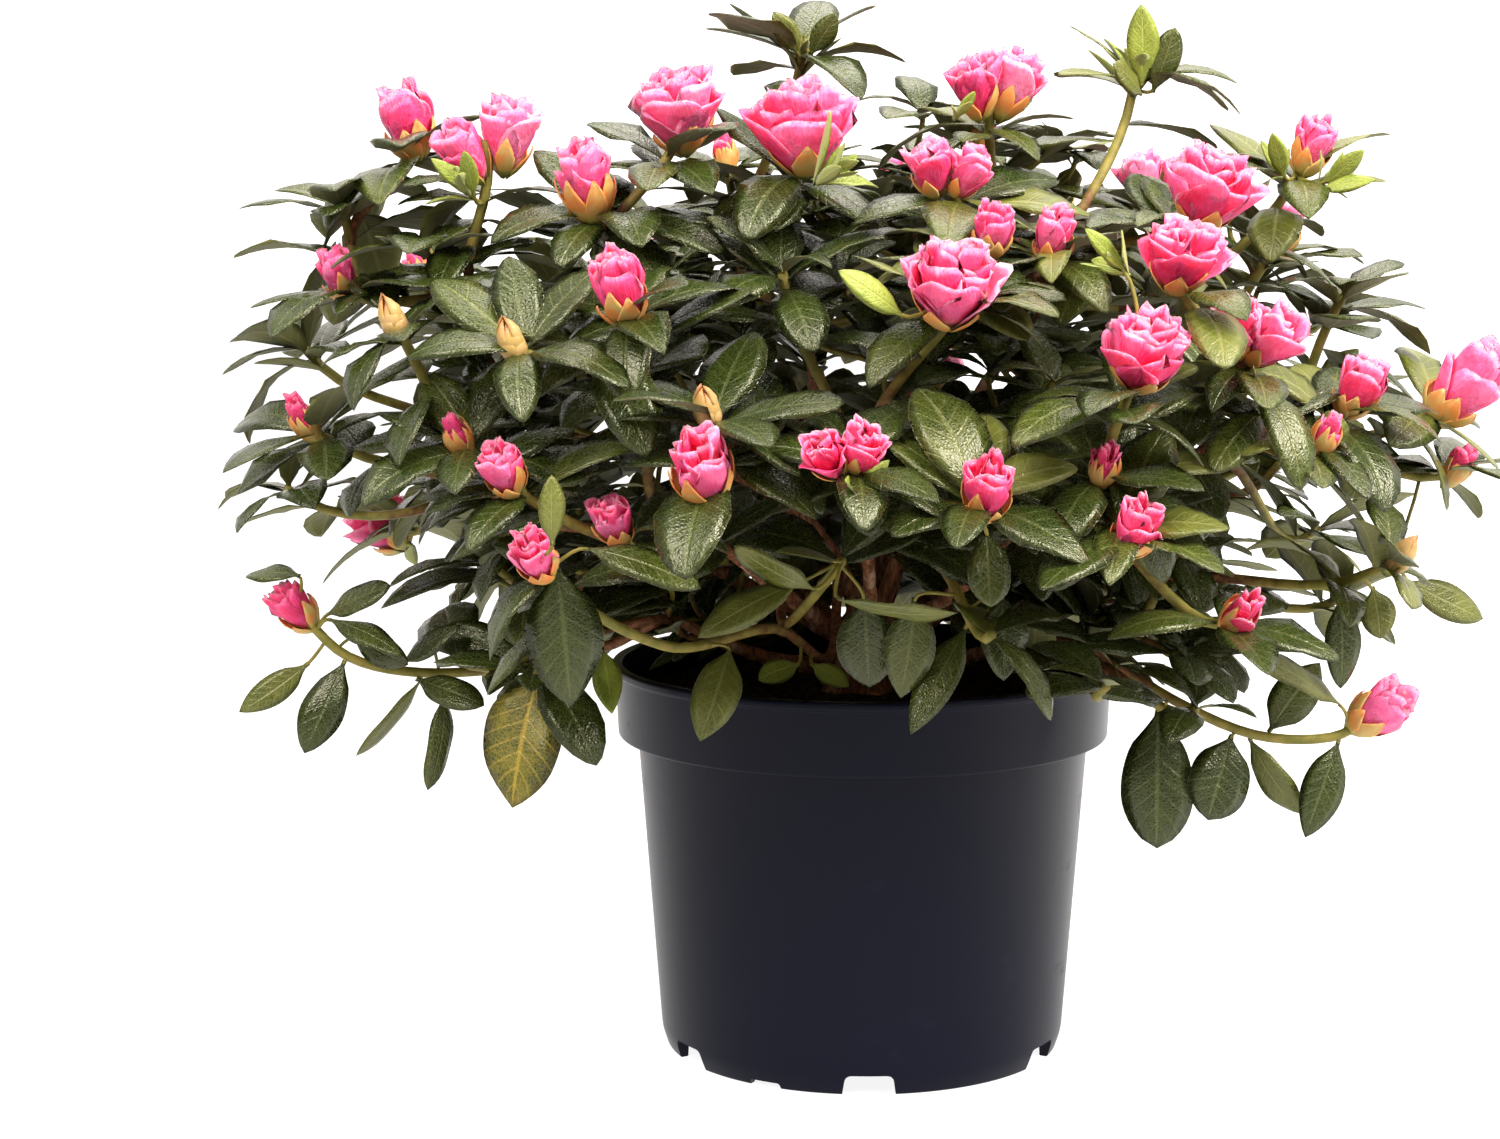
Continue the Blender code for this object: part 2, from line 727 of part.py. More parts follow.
def fuse_mass(mass, collection, material):
    """Joins a mass's pieces to its stem by one Boolean union and keeps the body that holds the stem."""
    pieces = make_collection("pieces_of_" + mass.name)
    objects = []
    for kind, corners, faces in mass.pieces:
        mesh = bpy.data.meshes.new(kind)
        mesh.from_pydata(corners, [], faces)
        obj = bpy.data.objects.new(kind, mesh)
        objects.append(obj)
    stem, rest = objects[0], objects[1:]
    bpy.context.scene.collection.objects.link(stem)
    for obj in rest:
        pieces.objects.link(obj)
    union = stem.modifiers.new("join", "BOOLEAN")
    union.operation = "UNION"
    union.solver = "MANIFOLD"
    union.operand_type = "COLLECTION"
    union.collection = pieces
    mesh = mesh_of(stem)
    for obj in objects:
        bpy.data.objects.remove(obj)
    bpy.data.collections.remove(pieces)
    drop_scraps(mesh)
    mesh.materials.clear()
    return add_object("foliage_" + mass.name, mesh, material, collection)


def drop_scraps(mesh):
    """Keeps only the largest connected body of a mesh."""
    work = bmesh.new()
    work.from_mesh(mesh)
    left = set(work.verts)
    bodies = []
    while left:
        body, front = set(), [left.pop()]
        while front:
            vertex = front.pop()
            body.add(vertex)
            for edge in vertex.link_edges:
                other = edge.other_vert(vertex)
                if other in left:
                    left.remove(other)
                    front.append(other)
        bodies.append(body)
    bodies.sort(key=len)
    for scrap in bodies[:-1]:
        bmesh.ops.delete(work, geom=list(scrap), context="VERTS")
    work.to_mesh(mesh)
    work.free()


# What the foliage keeps clear of


def guard_of(obj):
    graph = bpy.context.evaluated_depsgraph_get()
    mesh = obj.evaluated_get(graph).to_mesh()
    corners = [obj.matrix_world @ v.co for v in mesh.vertices]
    return BVHTree.FromPolygons(corners, [list(p.vertices) for p in mesh.polygons])


def limb_guard(route):
    """A tube a little thicker than a bough."""
    radii = taper(BOUGH_BASE_RADIUS + LIMB_CLEARANCE, BOUGH_TIP_RADIUS + LIMB_CLEARANCE, len(route))
    rod = tube("guard", route, radii, 1)
    bpy.context.scene.collection.objects.link(rod)
    mesh = welded(mesh_of(rod))
    bpy.data.objects.remove(rod)
    return BVHTree.FromPolygons([v.co for v in mesh.vertices], [list(p.vertices) for p in mesh.polygons])


def pot_guard(collection):
    """A plug a little larger than the pot and the soil in it."""
    clear = 1.2 * MM
    profile = [
        (0, SOIL_TOP + SOIL_RELIEF + clear),
        (COLLAR_FOOT_RADIUS - 4 * WALL, SOIL_TOP + SOIL_RELIEF + clear),
        (RIM_RADIUS - 3 * WALL, POT_HEIGHT + clear),
        (RIM_RADIUS + 1 * MM + clear, POT_HEIGHT + clear),
        (RIM_RADIUS + 1 * MM + clear, POT_HEIGHT - COLLAR_HEIGHT - clear),
        (BODY_TOP_RADIUS + clear, POT_HEIGHT - COLLAR_HEIGHT - 2 * clear),
        (FOOT_RADIUS + 2 * clear, 0),
        (0, 0),
    ]
    material = bpy.data.materials.new("guard")
    plug = turned("guard", profile, POT_SEGMENTS, material, collection)
    guard = guard_of(plug)
    bpy.data.objects.remove(plug)
    bpy.data.materials.remove(material)
    return guard


def entry_of(name, shoots, tree):
    """Where the bough enters its mass: the first place on the way to the mass's middle that is in its cell."""
    own = [s["tip"] for s in shoots if s["mass"] == name]
    middle = sum(own, Vector()) / len(own)
    fork = trunk_axis(TRUNK_HEIGHT)
    share = 0.42
    while share < 0.9:
        place = fork.lerp(middle, share)
        place.z -= 0.06 * (middle - fork).length * (1 - share)
        if in_cell(place, name, tree, shoots) and in_cell(fork.lerp(middle, share + 0.1), name, tree, shoots):
            return place
        share += 0.03
    return fork.lerp(middle, share)


LEAF_SHAPE = unit_sphere(3, 2)
BLOOM_SHAPE = unit_sphere(6, 3)
BUD_SHAPE = unit_sphere(5, 3)


def main():
    clear_scene()
    rng = random.Random(SEED)
    shrub = make_collection("azalea_in_pot")
    cutters = make_collection("cutters")
    plastic = make_material("pot_plastic", (0.012, 0.018, 0.045), 0.42)
    compost = make_material("compost", (0.016, 0.010, 0.007), 0.95)
    bark = make_material("bark", (0.13, 0.055, 0.028), 0.85)
    foliage = make_material("leaf_green", (0.028, 0.062, 0.020), 0.38)
    make_pot(shrub, cutters, plastic)
    make_soil(shrub, compost)
    trunk = make_trunk(shrub, bark)

    shoots = plan_shoots(rng)
    share_out(shoots)
    tree = cell_tree(shoots)
    routes = {}
    for name in MASSES:
        routes[name] = bough_route(name, entry_of(name, shoots, tree))
        make_bough(name, routes[name], shrub, bark)

    guards = [pot_guard(shrub), guard_of(trunk)]
    limb_guards = {name: limb_guard(route) for name, route in routes.items()}
    for name, route in routes.items():
        heading = (route[-1] - route[-2]).normalized()
        own_limb = limb_guard(route[:-1] + [route[-1] - heading * 2 * LIMB_CLEARANCE])
        others = [guard for other, guard in limb_guards.items() if other != name]
        mass = grow_mass(name, route[-1], heading, shoots, tree, guards + others + [own_limb])
        fuse_mass(mass, shrub, foliage)


main()
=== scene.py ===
"""Azalea shrub in bud and bloom in a dark blue nursery pot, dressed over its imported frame."""

import math
import random

import bmesh
import bpy
import numpy as np
from mathutils import Matrix, Vector, noise
from mathutils.kdtree import KDTree


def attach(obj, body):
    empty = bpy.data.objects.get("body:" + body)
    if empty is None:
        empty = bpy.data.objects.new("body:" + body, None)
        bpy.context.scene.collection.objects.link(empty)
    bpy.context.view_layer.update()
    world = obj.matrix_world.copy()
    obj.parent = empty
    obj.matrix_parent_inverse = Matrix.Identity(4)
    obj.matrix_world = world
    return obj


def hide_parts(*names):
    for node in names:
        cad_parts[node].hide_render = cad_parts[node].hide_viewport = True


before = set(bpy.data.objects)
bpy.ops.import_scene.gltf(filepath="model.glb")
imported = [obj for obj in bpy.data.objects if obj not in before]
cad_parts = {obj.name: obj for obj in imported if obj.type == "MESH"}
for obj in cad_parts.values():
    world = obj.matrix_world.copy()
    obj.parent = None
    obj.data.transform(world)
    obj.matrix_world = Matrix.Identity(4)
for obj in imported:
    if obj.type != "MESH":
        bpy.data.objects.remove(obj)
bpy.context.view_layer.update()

# --- Pot
# A 19 cm nursery container, injection moulded in dark blue polypropylene with a satin surface. It has a
# tapered body, a deep collar with a lip, and a foot ring with six drain notches and three shallow steps.

MM = 0.001
RIM_RADIUS = 95 * MM
POT_HEIGHT = 149 * MM
COLLAR_HEIGHT = 28 * MM
COLLAR_FOOT_RADIUS = 93.7 * MM
LIP = 1 * MM
BODY_TOP_RADIUS = 86.1 * MM
BODY_FOOT_RADIUS = 77.5 * MM
FOOT_RADIUS = 75.5 * MM
WALL = 1.6 * MM
FLOOR_UNDERSIDE = 5 * MM
CENTRE_PAD_RADIUS = 22 * MM
POT_STEPS = 128
NOTCHES = 6
NOTCH_WIDTH = 17.5 * MM
NOTCH_HEIGHT = 7.7 * MM
NOTCH_DRAFT = 1.6 * MM
NOTCH_SHOULDER = 2.5 * MM
STEP_WIDTH = 12 * MM
STEP_HEIGHT = 2.2 * MM
STEP_BEARINGS = (240, 0, 120)


class Shade:
    """A socket of a finish. Sums written with it add Math nodes."""

    def __init__(self, finish, socket):
        self.finish, self.socket = finish, socket

    def sum_with(self, operation, first, second):
        return self.finish.node("ShaderNodeMath", {"operation": operation}, {0: first, 1: second})

    def __add__(self, other):
        return self.sum_with("ADD", self, other)

    def __radd__(self, other):
        return self.sum_with("ADD", other, self)

    def __sub__(self, other):
        return self.sum_with("SUBTRACT", self, other)

    def __rsub__(self, other):
        return self.sum_with("SUBTRACT", other, self)

    def __mul__(self, other):
        return self.sum_with("MULTIPLY", self, other)

    def __rmul__(self, other):
        return self.sum_with("MULTIPLY", other, self)

    def __abs__(self):
        return self.finish.node("ShaderNodeMath", {"operation": "ABSOLUTE"}, {0: self})

    def clamped(self):
        return self.finish.node("ShaderNodeMath", {"operation": "ADD", "use_clamp": True}, {0: self, 1: 0.0})


class Finish:
    """A material made of nodes, with its Principled shader's constants set on the shader itself."""

    def __init__(self, name, **constants):
        self.material = bpy.data.materials.new(name)
        self.material.use_nodes = True
        self.tree = self.material.node_tree
        self.shader = self.tree.nodes["Principled BSDF"]
        for socket, value in constants.items():
            self.shader.inputs[socket.replace("_", " ").title().replace("Ior", "IOR")].default_value = value

    def node(self, kind, settings, sockets, output=0):
        node = self.tree.nodes.new(kind)
        for key, value in settings.items():
            setattr(node, key, value)
        for key, value in sockets.items():
            if isinstance(value, Shade):
                self.tree.links.new(value.socket, node.inputs[key])
            else:
                node.inputs[key].default_value = value
        return Shade(self, node.outputs[output])

    def place(self, scale=(1, 1, 1)):
        """Object coordinates in metres, stretched by scale."""
        raw = self.node("ShaderNodeTexCoord", {}, {}, "Object")
        return self.node("ShaderNodeMapping", {}, {"Vector": raw, "Scale": scale})

    def noise(self, where, scale, detail=3, roughness=0.55):
        sockets = {"Vector": where, "Scale": scale, "Detail": detail, "Roughness": roughness}
        return self.node("ShaderNodeTexNoise", {}, sockets)

    def band(self, value, low, high):
        """Rises smoothly from 0 where value is low to 1 where it is high."""
        settings = {"interpolation_type": "SMOOTHSTEP"}
        return self.node("ShaderNodeMapRange", settings, {"Value": value, "From Min": low, "From Max": high})

    def mix(self, share, first, second):
        """A colour between two others."""
        colours = [c if isinstance(c, Shade) else (*c, 1) for c in (first, second)]
        sockets = {0: share, 6: colours[0], 7: colours[1]}
        return self.node("ShaderNodeMix", {"data_type": "RGBA"}, sockets, 2)

    def lie(self):
        """The UVs of a spray, which run across and along each leaf or petal."""
        return self.node("ShaderNodeUVMap", {"uv_map": "lie"}, {})

    def attribute(self, name):
        return self.node("ShaderNodeAttribute", {"attribute_name": name}, {}, "Fac")

    def bump(self, height, strength, distance):
        sockets = {"Height": height, "Strength": strength, "Distance": distance}
        return self.node("ShaderNodeBump", {}, sockets, "Normal")

    def feed(self, socket, value):
        self.tree.links.new(value.socket, self.shader.inputs[socket])


def new_object(name, mesh, *finishes):
    for finish in finishes:
        mesh.materials.append(finish.material)
    obj = bpy.data.objects.new(name, mesh)
    bpy.context.scene.collection.objects.link(obj)
    return obj


def lathe(profile, steps):
    """A closed shape turned round Z from (radius, height) points that run down its outer side."""
    work = bmesh.new()
    rings = []
    for radius, height in profile:
        if radius < 1e-6:
            rings.append([work.verts.new((0, 0, height))] * steps)
            continue
        turns = (math.tau * i / steps for i in range(steps))
        rings.append([work.verts.new((radius * math.cos(a), radius * math.sin(a), height)) for a in turns])
    for upper, lower in zip(rings, rings[1:]):
        for i in range(steps):
            corners = [upper[i], lower[i], lower[(i + 1) % steps], upper[(i + 1) % steps]]
            work.faces.new(list(dict.fromkeys(corners)))
    bmesh.ops.recalc_face_normals(work, faces=work.faces)
    mesh = bpy.data.meshes.new("lathed")
    work.to_mesh(mesh)
    work.free()
    return mesh


def rounded(points, radii, arc=4):
    """A (radius, height) line with each inner corner rounded by its own radius."""
    line = [Vector(points[0])]
    for before, corner, after, radius in zip(points, points[1:], points[2:], radii[1:]):
        before, corner, after = Vector(before), Vector(corner), Vector(after)
        if radius <= 0:
            line.append(corner)
            continue
        back = min(radius, (before - corner).length * 0.45, (after - corner).length * 0.45)
        start = corner + (before - corner).normalized() * back
        end = corner + (after - corner).normalized() * back
        for i in range(arc + 1):
            t = i / arc
            line.append(start * (1 - t) ** 2 + corner * 2 * t * (1 - t) + end * t * t)
    line.append(Vector(points[-1]))
    return [tuple(point) for point in line]


def pot_profile():
    """The pot's section, from its floor over the rim to its underside."""
    floor_top = FLOOR_UNDERSIDE + WALL
    collar_foot = POT_HEIGHT - COLLAR_HEIGHT
    # Radius, height and, in millimetres, how round the corner is.
    line = [
        (0, floor_top, 0),
        (BODY_FOOT_RADIUS - WALL, floor_top, 3),
        (BODY_TOP_RADIUS - WALL, collar_foot + 1 * MM, 1),
        (COLLAR_FOOT_RADIUS - WALL, collar_foot + 2 * WALL, 1.2),
        (RIM_RADIUS - 1.7 * WALL, POT_HEIGHT, 0.7),
        (RIM_RADIUS + LIP, POT_HEIGHT, 1.2),
        (RIM_RADIUS + LIP, POT_HEIGHT - 3 * MM, 0.5),
        (RIM_RADIUS - 0.2 * MM, POT_HEIGHT - 3.7 * MM, 0.5),
        (COLLAR_FOOT_RADIUS, collar_foot, 1.4),
        (BODY_TOP_RADIUS + 0.2 * MM, collar_foot + 0.6 * MM, 0.6),
        (BODY_FOOT_RADIUS, 6 * MM, 2.5),
        (FOOT_RADIUS, 0, 0.7),
        (FOOT_RADIUS - 2 * WALL, 0, 0.5),
        (FOOT_RADIUS - 2 * WALL, FLOOR_UNDERSIDE, 1),
        (CENTRE_PAD_RADIUS + 2 * MM, FLOOR_UNDERSIDE, 1),
        (CENTRE_PAD_RADIUS, 0, 0.5),
        (0, 0, 0),
    ]
    return rounded([point[:2] for point in line], [point[2] * MM for point in line])


def notch_cutter(bearing, width, height):
    """A bar through the foot ring whose section is a low arch with round shoulders."""
    half, shoulder = width / 2, min(height * 0.5, NOTCH_SHOULDER)
    below, reach = -4 * MM, 9 * MM
    section = [(-half - NOTCH_DRAFT, below), (-half, height), (half, height), (half + NOTCH_DRAFT, below)]
    section = rounded(section, [0, shoulder, shoulder, 0], 5)
    work = bmesh.new()
    ends = []
    for out in (FOOT_RADIUS - reach, FOOT_RADIUS + reach):
        ends.append([work.verts.new((out, across, up)) for across, up in section])
    work.faces.new(ends[0])
    work.faces.new(ends[1][::-1])
    for i in range(len(section)):
        j = (i + 1) % len(section)
        work.faces.new((ends[0][j], ends[0][i], ends[1][i], ends[1][j]))
    bmesh.ops.recalc_face_normals(work, faces=work.faces)
    bmesh.ops.rotate(work, verts=work.verts, matrix=Matrix.Rotation(math.radians(bearing), 3, "Z"))
    mesh = bpy.data.meshes.new("notch")
    work.to_mesh(mesh)
    work.free()
    return bpy.data.objects.new("notch", mesh)


def cut_all(mesh, cutters):
    """The mesh less every cutter."""
    group = bpy.data.collections.new("cutters")
    bpy.context.scene.collection.children.link(group)
    for cutter in cutters:
        group.objects.link(cutter)
    body = new_object("body", mesh)
    cut = body.modifiers.new("cut", "BOOLEAN")
    cut.operation, cut.operand_type, cut.collection = "DIFFERENCE", "COLLECTION", group
    result = bpy.data.meshes.new_from_object(body.evaluated_get(bpy.context.evaluated_depsgraph_get()))
    for obj in [body, *cutters]:
        bpy.data.objects.remove(obj)
    bpy.data.collections.remove(group)
    return result


def smoothed(mesh, sharp_degrees=40):
    mesh.polygons.foreach_set("use_smooth", [True] * len(mesh.polygons))
    mesh.set_sharp_from_angle(angle=math.radians(sharp_degrees))
    return mesh


plastic = Finish("pot_plastic", roughness=0.34, specular_ior_level=0.12)
grain = plastic.noise(plastic.place(), 900, 2)
scuffs = plastic.noise(plastic.place((1, 1, 2.5)), 42, 6, 0.7)
dust = plastic.noise(plastic.place(), 11, 4)
marks = plastic.band(scuffs, 0.56, 0.72) * plastic.band(dust, 0.45, 0.62)
plastic.feed("Base Color", plastic.mix(marks * 0.3, (0.0018, 0.0026, 0.0098), (0.011, 0.013, 0.024)))
plastic.feed("Roughness", 0.30 + 0.05 * dust + 0.12 * marks)
plastic.feed("Normal", plastic.bump(grain, 0.12, 0.1 * MM))

notches = [notch_cutter(-90 + i * 360 / NOTCHES, NOTCH_WIDTH, NOTCH_HEIGHT) for i in range(NOTCHES)]
notches += [notch_cutter(bearing, STEP_WIDTH, STEP_HEIGHT) for bearing in STEP_BEARINGS]
pot = new_object("nursery_pot", smoothed(cut_all(lathe(pot_profile(), POT_STEPS), notches)), plastic)
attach(pot, "root")
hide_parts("pot")


# --- Compost
# Dark peat compost that fills the pot to 12 mm under its rim. Its top is uneven and sinks a little towards
# the wall, and loose crumbs and chips of bark lie on it.

SEED = 11
SOIL_TOP = 137 * MM
SOIL_BOTTOM = 8.5 * MM
SOIL_LUMPS = 1.7 * MM
SOIL_SAG = 2 * MM
GAP = 0.3 * MM
CRUMBS_PER_SQUARE_METRE = 60000.0


def inner_radius(height):
    """The radius of the pot's inner wall at a height on its body."""
    floor_top = FLOOR_UNDERSIDE + WALL
    share = (height - floor_top) / (POT_HEIGHT - COLLAR_HEIGHT - floor_top)
    return BODY_FOOT_RADIUS + (BODY_TOP_RADIUS - BODY_FOOT_RADIUS) * share - WALL


def compost_mesh():
    collar_foot = POT_HEIGHT - COLLAR_HEIGHT
    mouth = COLLAR_FOOT_RADIUS - WALL - 2 * GAP
    line = [(mouth * i / 40, SOIL_TOP) for i in range(41)]
    line += [
        (mouth, collar_foot + 2 * WALL + 2 * GAP),
        (inner_radius(collar_foot) - 2 * GAP, collar_foot),
        (inner_radius(SOIL_BOTTOM) - 2 * GAP, SOIL_BOTTOM),
        (0, SOIL_BOTTOM),
    ]
    mesh = lathe(line, 96)
    for vertex in mesh.vertices:
        if vertex.co.z > SOIL_TOP - 0.1 * MM:
            lump = noise.fractal(vertex.co * 70, 1.0, 2.0, 4) * SOIL_LUMPS
            vertex.co.z += lump - SOIL_SAG * (vertex.co.xy.length / mouth) ** 4
    return smoothed(mesh, 180)


compost = Finish("compost", roughness=0.95, specular_ior_level=0.2)
clods = compost.noise(compost.place(), 260, 5, 0.7)
peat = compost.mix(compost.band(clods, 0.35, 0.7), (0.012, 0.008, 0.005), (0.065, 0.040, 0.025))
compost.feed("Base Color", peat)
compost.feed("Normal", compost.bump(clods, 0.9, 1.2 * MM))
soil = new_object("compost_fill", compost_mesh(), compost)
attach(soil, "root")
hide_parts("soil")


def crumb_tree(finish):
    """Scatters turned crumbs over upward faces, then makes them real and gives them their finish."""
    tree = bpy.data.node_groups.new("crumbs", "GeometryNodeTree")
    face = tree.interface
    face.new_socket("Geometry", in_out="INPUT", socket_type="NodeSocketGeometry")
    wanted = (
        ("Density", "NodeSocketFloat", CRUMBS_PER_SQUARE_METRE),
        ("Least", "NodeSocketFloat", 0.5 * MM),
        ("Most", "NodeSocketFloat", 1.9 * MM),
        ("Seed", "NodeSocketInt", SEED),
    )
    for name, kind, value in wanted:
        face.new_socket(name, in_out="INPUT", socket_type=kind).default_value = value
    face.new_socket("Geometry", in_out="OUTPUT", socket_type="NodeSocketGeometry")

    def add(kind, sockets=None, **settings):
        node = tree.nodes.new(kind)
        for key, value in settings.items():
            setattr(node, key, value)
        for key, value in (sockets or {}).items():
            if isinstance(value, bpy.types.NodeSocket):
                tree.links.new(value, node.inputs[key])
            else:
                node.inputs[key].default_value = value
        return node

    given = add("NodeGroupInput").outputs
    normal = add("ShaderNodeSeparateXYZ", {0: add("GeometryNodeInputNormal").outputs[0]})
    upward = add("FunctionNodeCompare", {0: normal.outputs["Z"], 1: 0.5}, operation="GREATER_THAN")
    scatter = {"Mesh": given["Geometry"], "Selection": upward.outputs[0]}
    scatter |= {"Density": given["Density"], "Seed": given["Seed"]}
    points = add("GeometryNodeDistributePointsOnFaces", scatter)
    crumb = add("GeometryNodeMeshIcoSphere", {"Radius": 1.0, "Subdivisions": 1})
    shapes = {0: (0.45, 0.45, 0.35), 1: (1.2, 1.0, 0.9), "Seed": given["Seed"]}
    size = add("FunctionNodeRandomValue", shapes, data_type="FLOAT_VECTOR")
    grades = {2: given["Least"], 3: given["Most"], "Seed": 5}
    grade = add("FunctionNodeRandomValue", grades, data_type="FLOAT")
    scale = add("ShaderNodeVectorMath", {0: size.outputs[0], "Scale": grade.outputs[1]}, operation="SCALE")
    turns = {0: (0, 0, 0), 1: (6.3, 6.3, 6.3), "Seed": 9}
    turn = add("FunctionNodeRandomValue", turns, data_type="FLOAT_VECTOR")
    scatter = {"Points": points.outputs["Points"], "Instance": crumb.outputs["Mesh"]}
    scatter |= {"Rotation": turn.outputs[0], "Scale": scale.outputs[0]}
    lying = add("GeometryNodeInstanceOnPoints", scatter)
    real = add("GeometryNodeRealizeInstances", {0: lying.outputs[0]})
    finished = add("GeometryNodeSetMaterial", {"Geometry": real.outputs[0], "Material": finish.material})
    tree.links.new(finished.outputs[0], add("NodeGroupOutput").inputs[0])
    return tree


def grown_by(tree, source, name, finish, values):
    """The plain mesh that a Geometry Nodes tree makes of a source mesh."""
    carrier = new_object(name, source)
    nodes = carrier.modifiers.new("nodes", "NODES")
    nodes.node_group = tree
    for item in tree.interface.items_tree:
        if item.in_out == "INPUT" and item.name in values:
            nodes[item.identifier] = values[item.name]
    mesh = bpy.data.meshes.new_from_object(carrier.evaluated_get(bpy.context.evaluated_depsgraph_get()))
    bpy.data.objects.remove(carrier)
    mesh.materials.clear()
    return new_object(name, mesh, finish)


crumb_finish = Finish("compost_crumbs", roughness=0.9, specular_ior_level=0.2)
tone = crumb_finish.noise(crumb_finish.place(), 420, 2)
dark, pale = (0.007, 0.005, 0.004), (0.075, 0.040, 0.022)
crumb_finish.feed("Base Color", crumb_finish.mix(crumb_finish.band(tone, 0.42, 0.72), dark, pale))
crumb_finish.feed("Normal", crumb_finish.bump(tone, 0.6, 0.4 * MM))
amount = {"Density": CRUMBS_PER_SQUARE_METRE}
crumbs = grown_by(crumb_tree(crumb_finish), soil.data.copy(), "compost_crumbs", crumb_finish, amount)
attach(crumbs, "root")


# --- Trunk and boughs
# The woody frame: a short leaning trunk with a root flare, and fourteen boughs that fork from it. Their
# reddish brown bark is rough and flakes off in strips. Nothing joins them but their own wood.

UP = Vector((0, 0, 1))
GOLDEN_ANGLE = math.radians(137.5)
TRUNK_FLARE_RADIUS = 17 * MM
TRUNK_RADIUS = 11 * MM
TRUNK_HEIGHT = 32 * MM
TRUNK_LEAN = Vector((3 * MM, -2 * MM, 0))
BUTTRESSES = 5
BUTTRESS_SHARE = 0.16
SHOULDER_FROM, SHOULDER_SHARE = 0.9, 0.86
BOUGH_ROOT_RADIUS = 4.4 * MM
BOUGH_RADIUS = 3.5 * MM
BOUGH_TIP_RADIUS = 2.1 * MM
BOUGH_SINK = 9 * MM
BARK_GRAIN = 0.75 * MM

# Where the low boughs and the side boughs leave the trunk, as shares of its height, and how steeply they
# start, and how far the top boughs lean out.
LOW_RISE, LOW_SLOPE = 0.3, 0.12
SIDE_RISE, SIDE_SLOPE = 0.68, 0.55
TOP_OUTWARD = 0.35

# A bough enters its mass between these shares of the way from the fork to the mass's middle.
FIRST_ENTRY, LAST_ENTRY, ENTRY_STEP = 0.42, 0.9, 0.03
ENTRY_SAG = 0.06
ENTRY_DEPTH = 0.1

# The crown is a low dome, a little wider than it is deep. Its back flowers, and so does more of its top.
CROWN_CENTRE = Vector((-2 * MM, 0, 222 * MM))
CROWN_REACH = Vector((218 * MM, 184 * MM, 138 * MM))
CROWN_FOOT = -0.38
SHOOT_SPACING = 53 * MM
INNER_SPACING = 40 * MM
DOME_SHOOTS = 74
INNER_SHOOTS = 30
CELL_MARGIN = 1.3 * MM
FLOWERS_BEHIND = 60 * MM
HIGH_FLOWERS_BEHIND, HIGH_FLOWERS_FROM = -20 * MM, 280 * MM

# What a shoot ends in, and how wide that is.
ENDS = {
    "open": 42 * MM,
    "opening": 33 * MM,
    "half": 25 * MM,
    "bud": 16 * MM,
    "green": 13 * MM,
    "sprig": 11 * MM,
    "leafy": 0,
}

# The shoots that show on the front and over the top: across, back and up in millimetres, what each ends in,
# and the size of that.
FRONT_SHOOTS = (
    (-165, -50, 350, "half", 1.3),
    (-135, -80, 345, "opening", 1.25),
    (-67, -85, 354, "open", 1.05),
    (-25, -100, 348, "open", 1.2),
    (-98, -105, 328, "half", 1.2),
    (-186, -80, 297, "half", 0.9),
    (-163, -122, 285, "green", 1),
    (-121, -150, 279, "green", 1),
    (-85, -155, 295, "half", 1.1),
    (-57, -165, 258, "green", 1),
    (42, -70, 364, "opening", 1.15),
    (24, -108, 336, "opening", 1),
    (37, -140, 314, "half", 0.85),
    (58, -130, 311, "half", 0.85),
    (21, -172, 298, "open", 1.05),
    (113, -108, 327, "open", 1.05),
    (98, -150, 306, "open", 0.98),
    (83, -172, 276, "open", 1.02),
    (122, -145, 281, "opening", 1),
    (158, -50, 342, "half", 1.05),
    (162, -120, 260, "half", 1),
    (208, -75, 257, "half", 1.4),
    (148, -140, 247, "bud", 1),
    (72, -165, 240, "bud", 1),
    (32, -187, 233, "half", 1),
    (80, -180, 220, "half", 1),
    (-13, -188, 247, "opening", 0.95),
    (-58, -182, 238, "half", 1.3),
    (-123, -158, 237, "half", 0.9),
    (-112, -168, 210, "half", 0.9),
    (-88, -150, 219, "half", 0.85),
    (-206, -66, 178, "half", 0.9),
    (-199, -90, 249, "bud", 1),
    (-140, -142, 248, "bud", 1),
    (118, -150, 187, "bud", 1.15),
    (184, -62, 139, "half", 1.25),
    (182, -105, 202, "green", 1),
    (215, -50, 228, "bud", 1),
    (-24, -30, 382, "sprig", 1),
    (97, -35, 374, "sprig", 1),
)
# Two blooms on long twigs lean out to the right.
LEANING = {(184, -62, 139): (1.0, -0.25, 0.35), (208, -75, 257): (0.75, -0.3, 0.65)}
# Leafy shoots that fill the front of the crown and hang over the pot's rim.
LEAFY_SHOOTS = (
    (-12, -124, 203, "leafy", 1),
    (38, -138, 180, "leafy", 1),
    (80, -112, 158, "leafy", 1),
    (118, -70, 142, "leafy", 1),
    (-150, -64, 160, "leafy", 1),
    (-118, -100, 160, "leafy", 1),
    (-32, -112, 300, "leafy", 1),
    (62, -100, 262, "leafy", 1),
    (-188, -62, 322, "leafy", 1),
    (-156, -84, 308, "leafy", 1),
)
# What the shoots of the back end in, in turn.
BACK_ENDS = ("open", "half", "leafy", "opening", "green", "open", "bud", "leafy", "half")

# The masses of foliage: bearing from +X, height of the mass's middle, and how far out that lies.
MASSES = {
    "top": (200, 345, 20),
    "top_right": (318, 330, 120),
    "top_left": (208, 330, 130),
    "top_back": (70, 335, 110),
    "front": (268, 270, 165),
    "front_left": (228, 240, 185),
    "front_right": (312, 265, 180),
    "left": (178, 245, 190),
    "right": (352, 250, 205),
    "back_left": (130, 245, 185),
    "back": (90, 225, 170),
    "back_right": (48, 245, 185),
    "trail_left": (196, 165, 180),
    "trail_right": (338, 150, 170),
}
TOP_TIER = ("top", "top_right", "top_left", "top_back")
LOW_TIER = ("trail_left", "trail_right", "back")


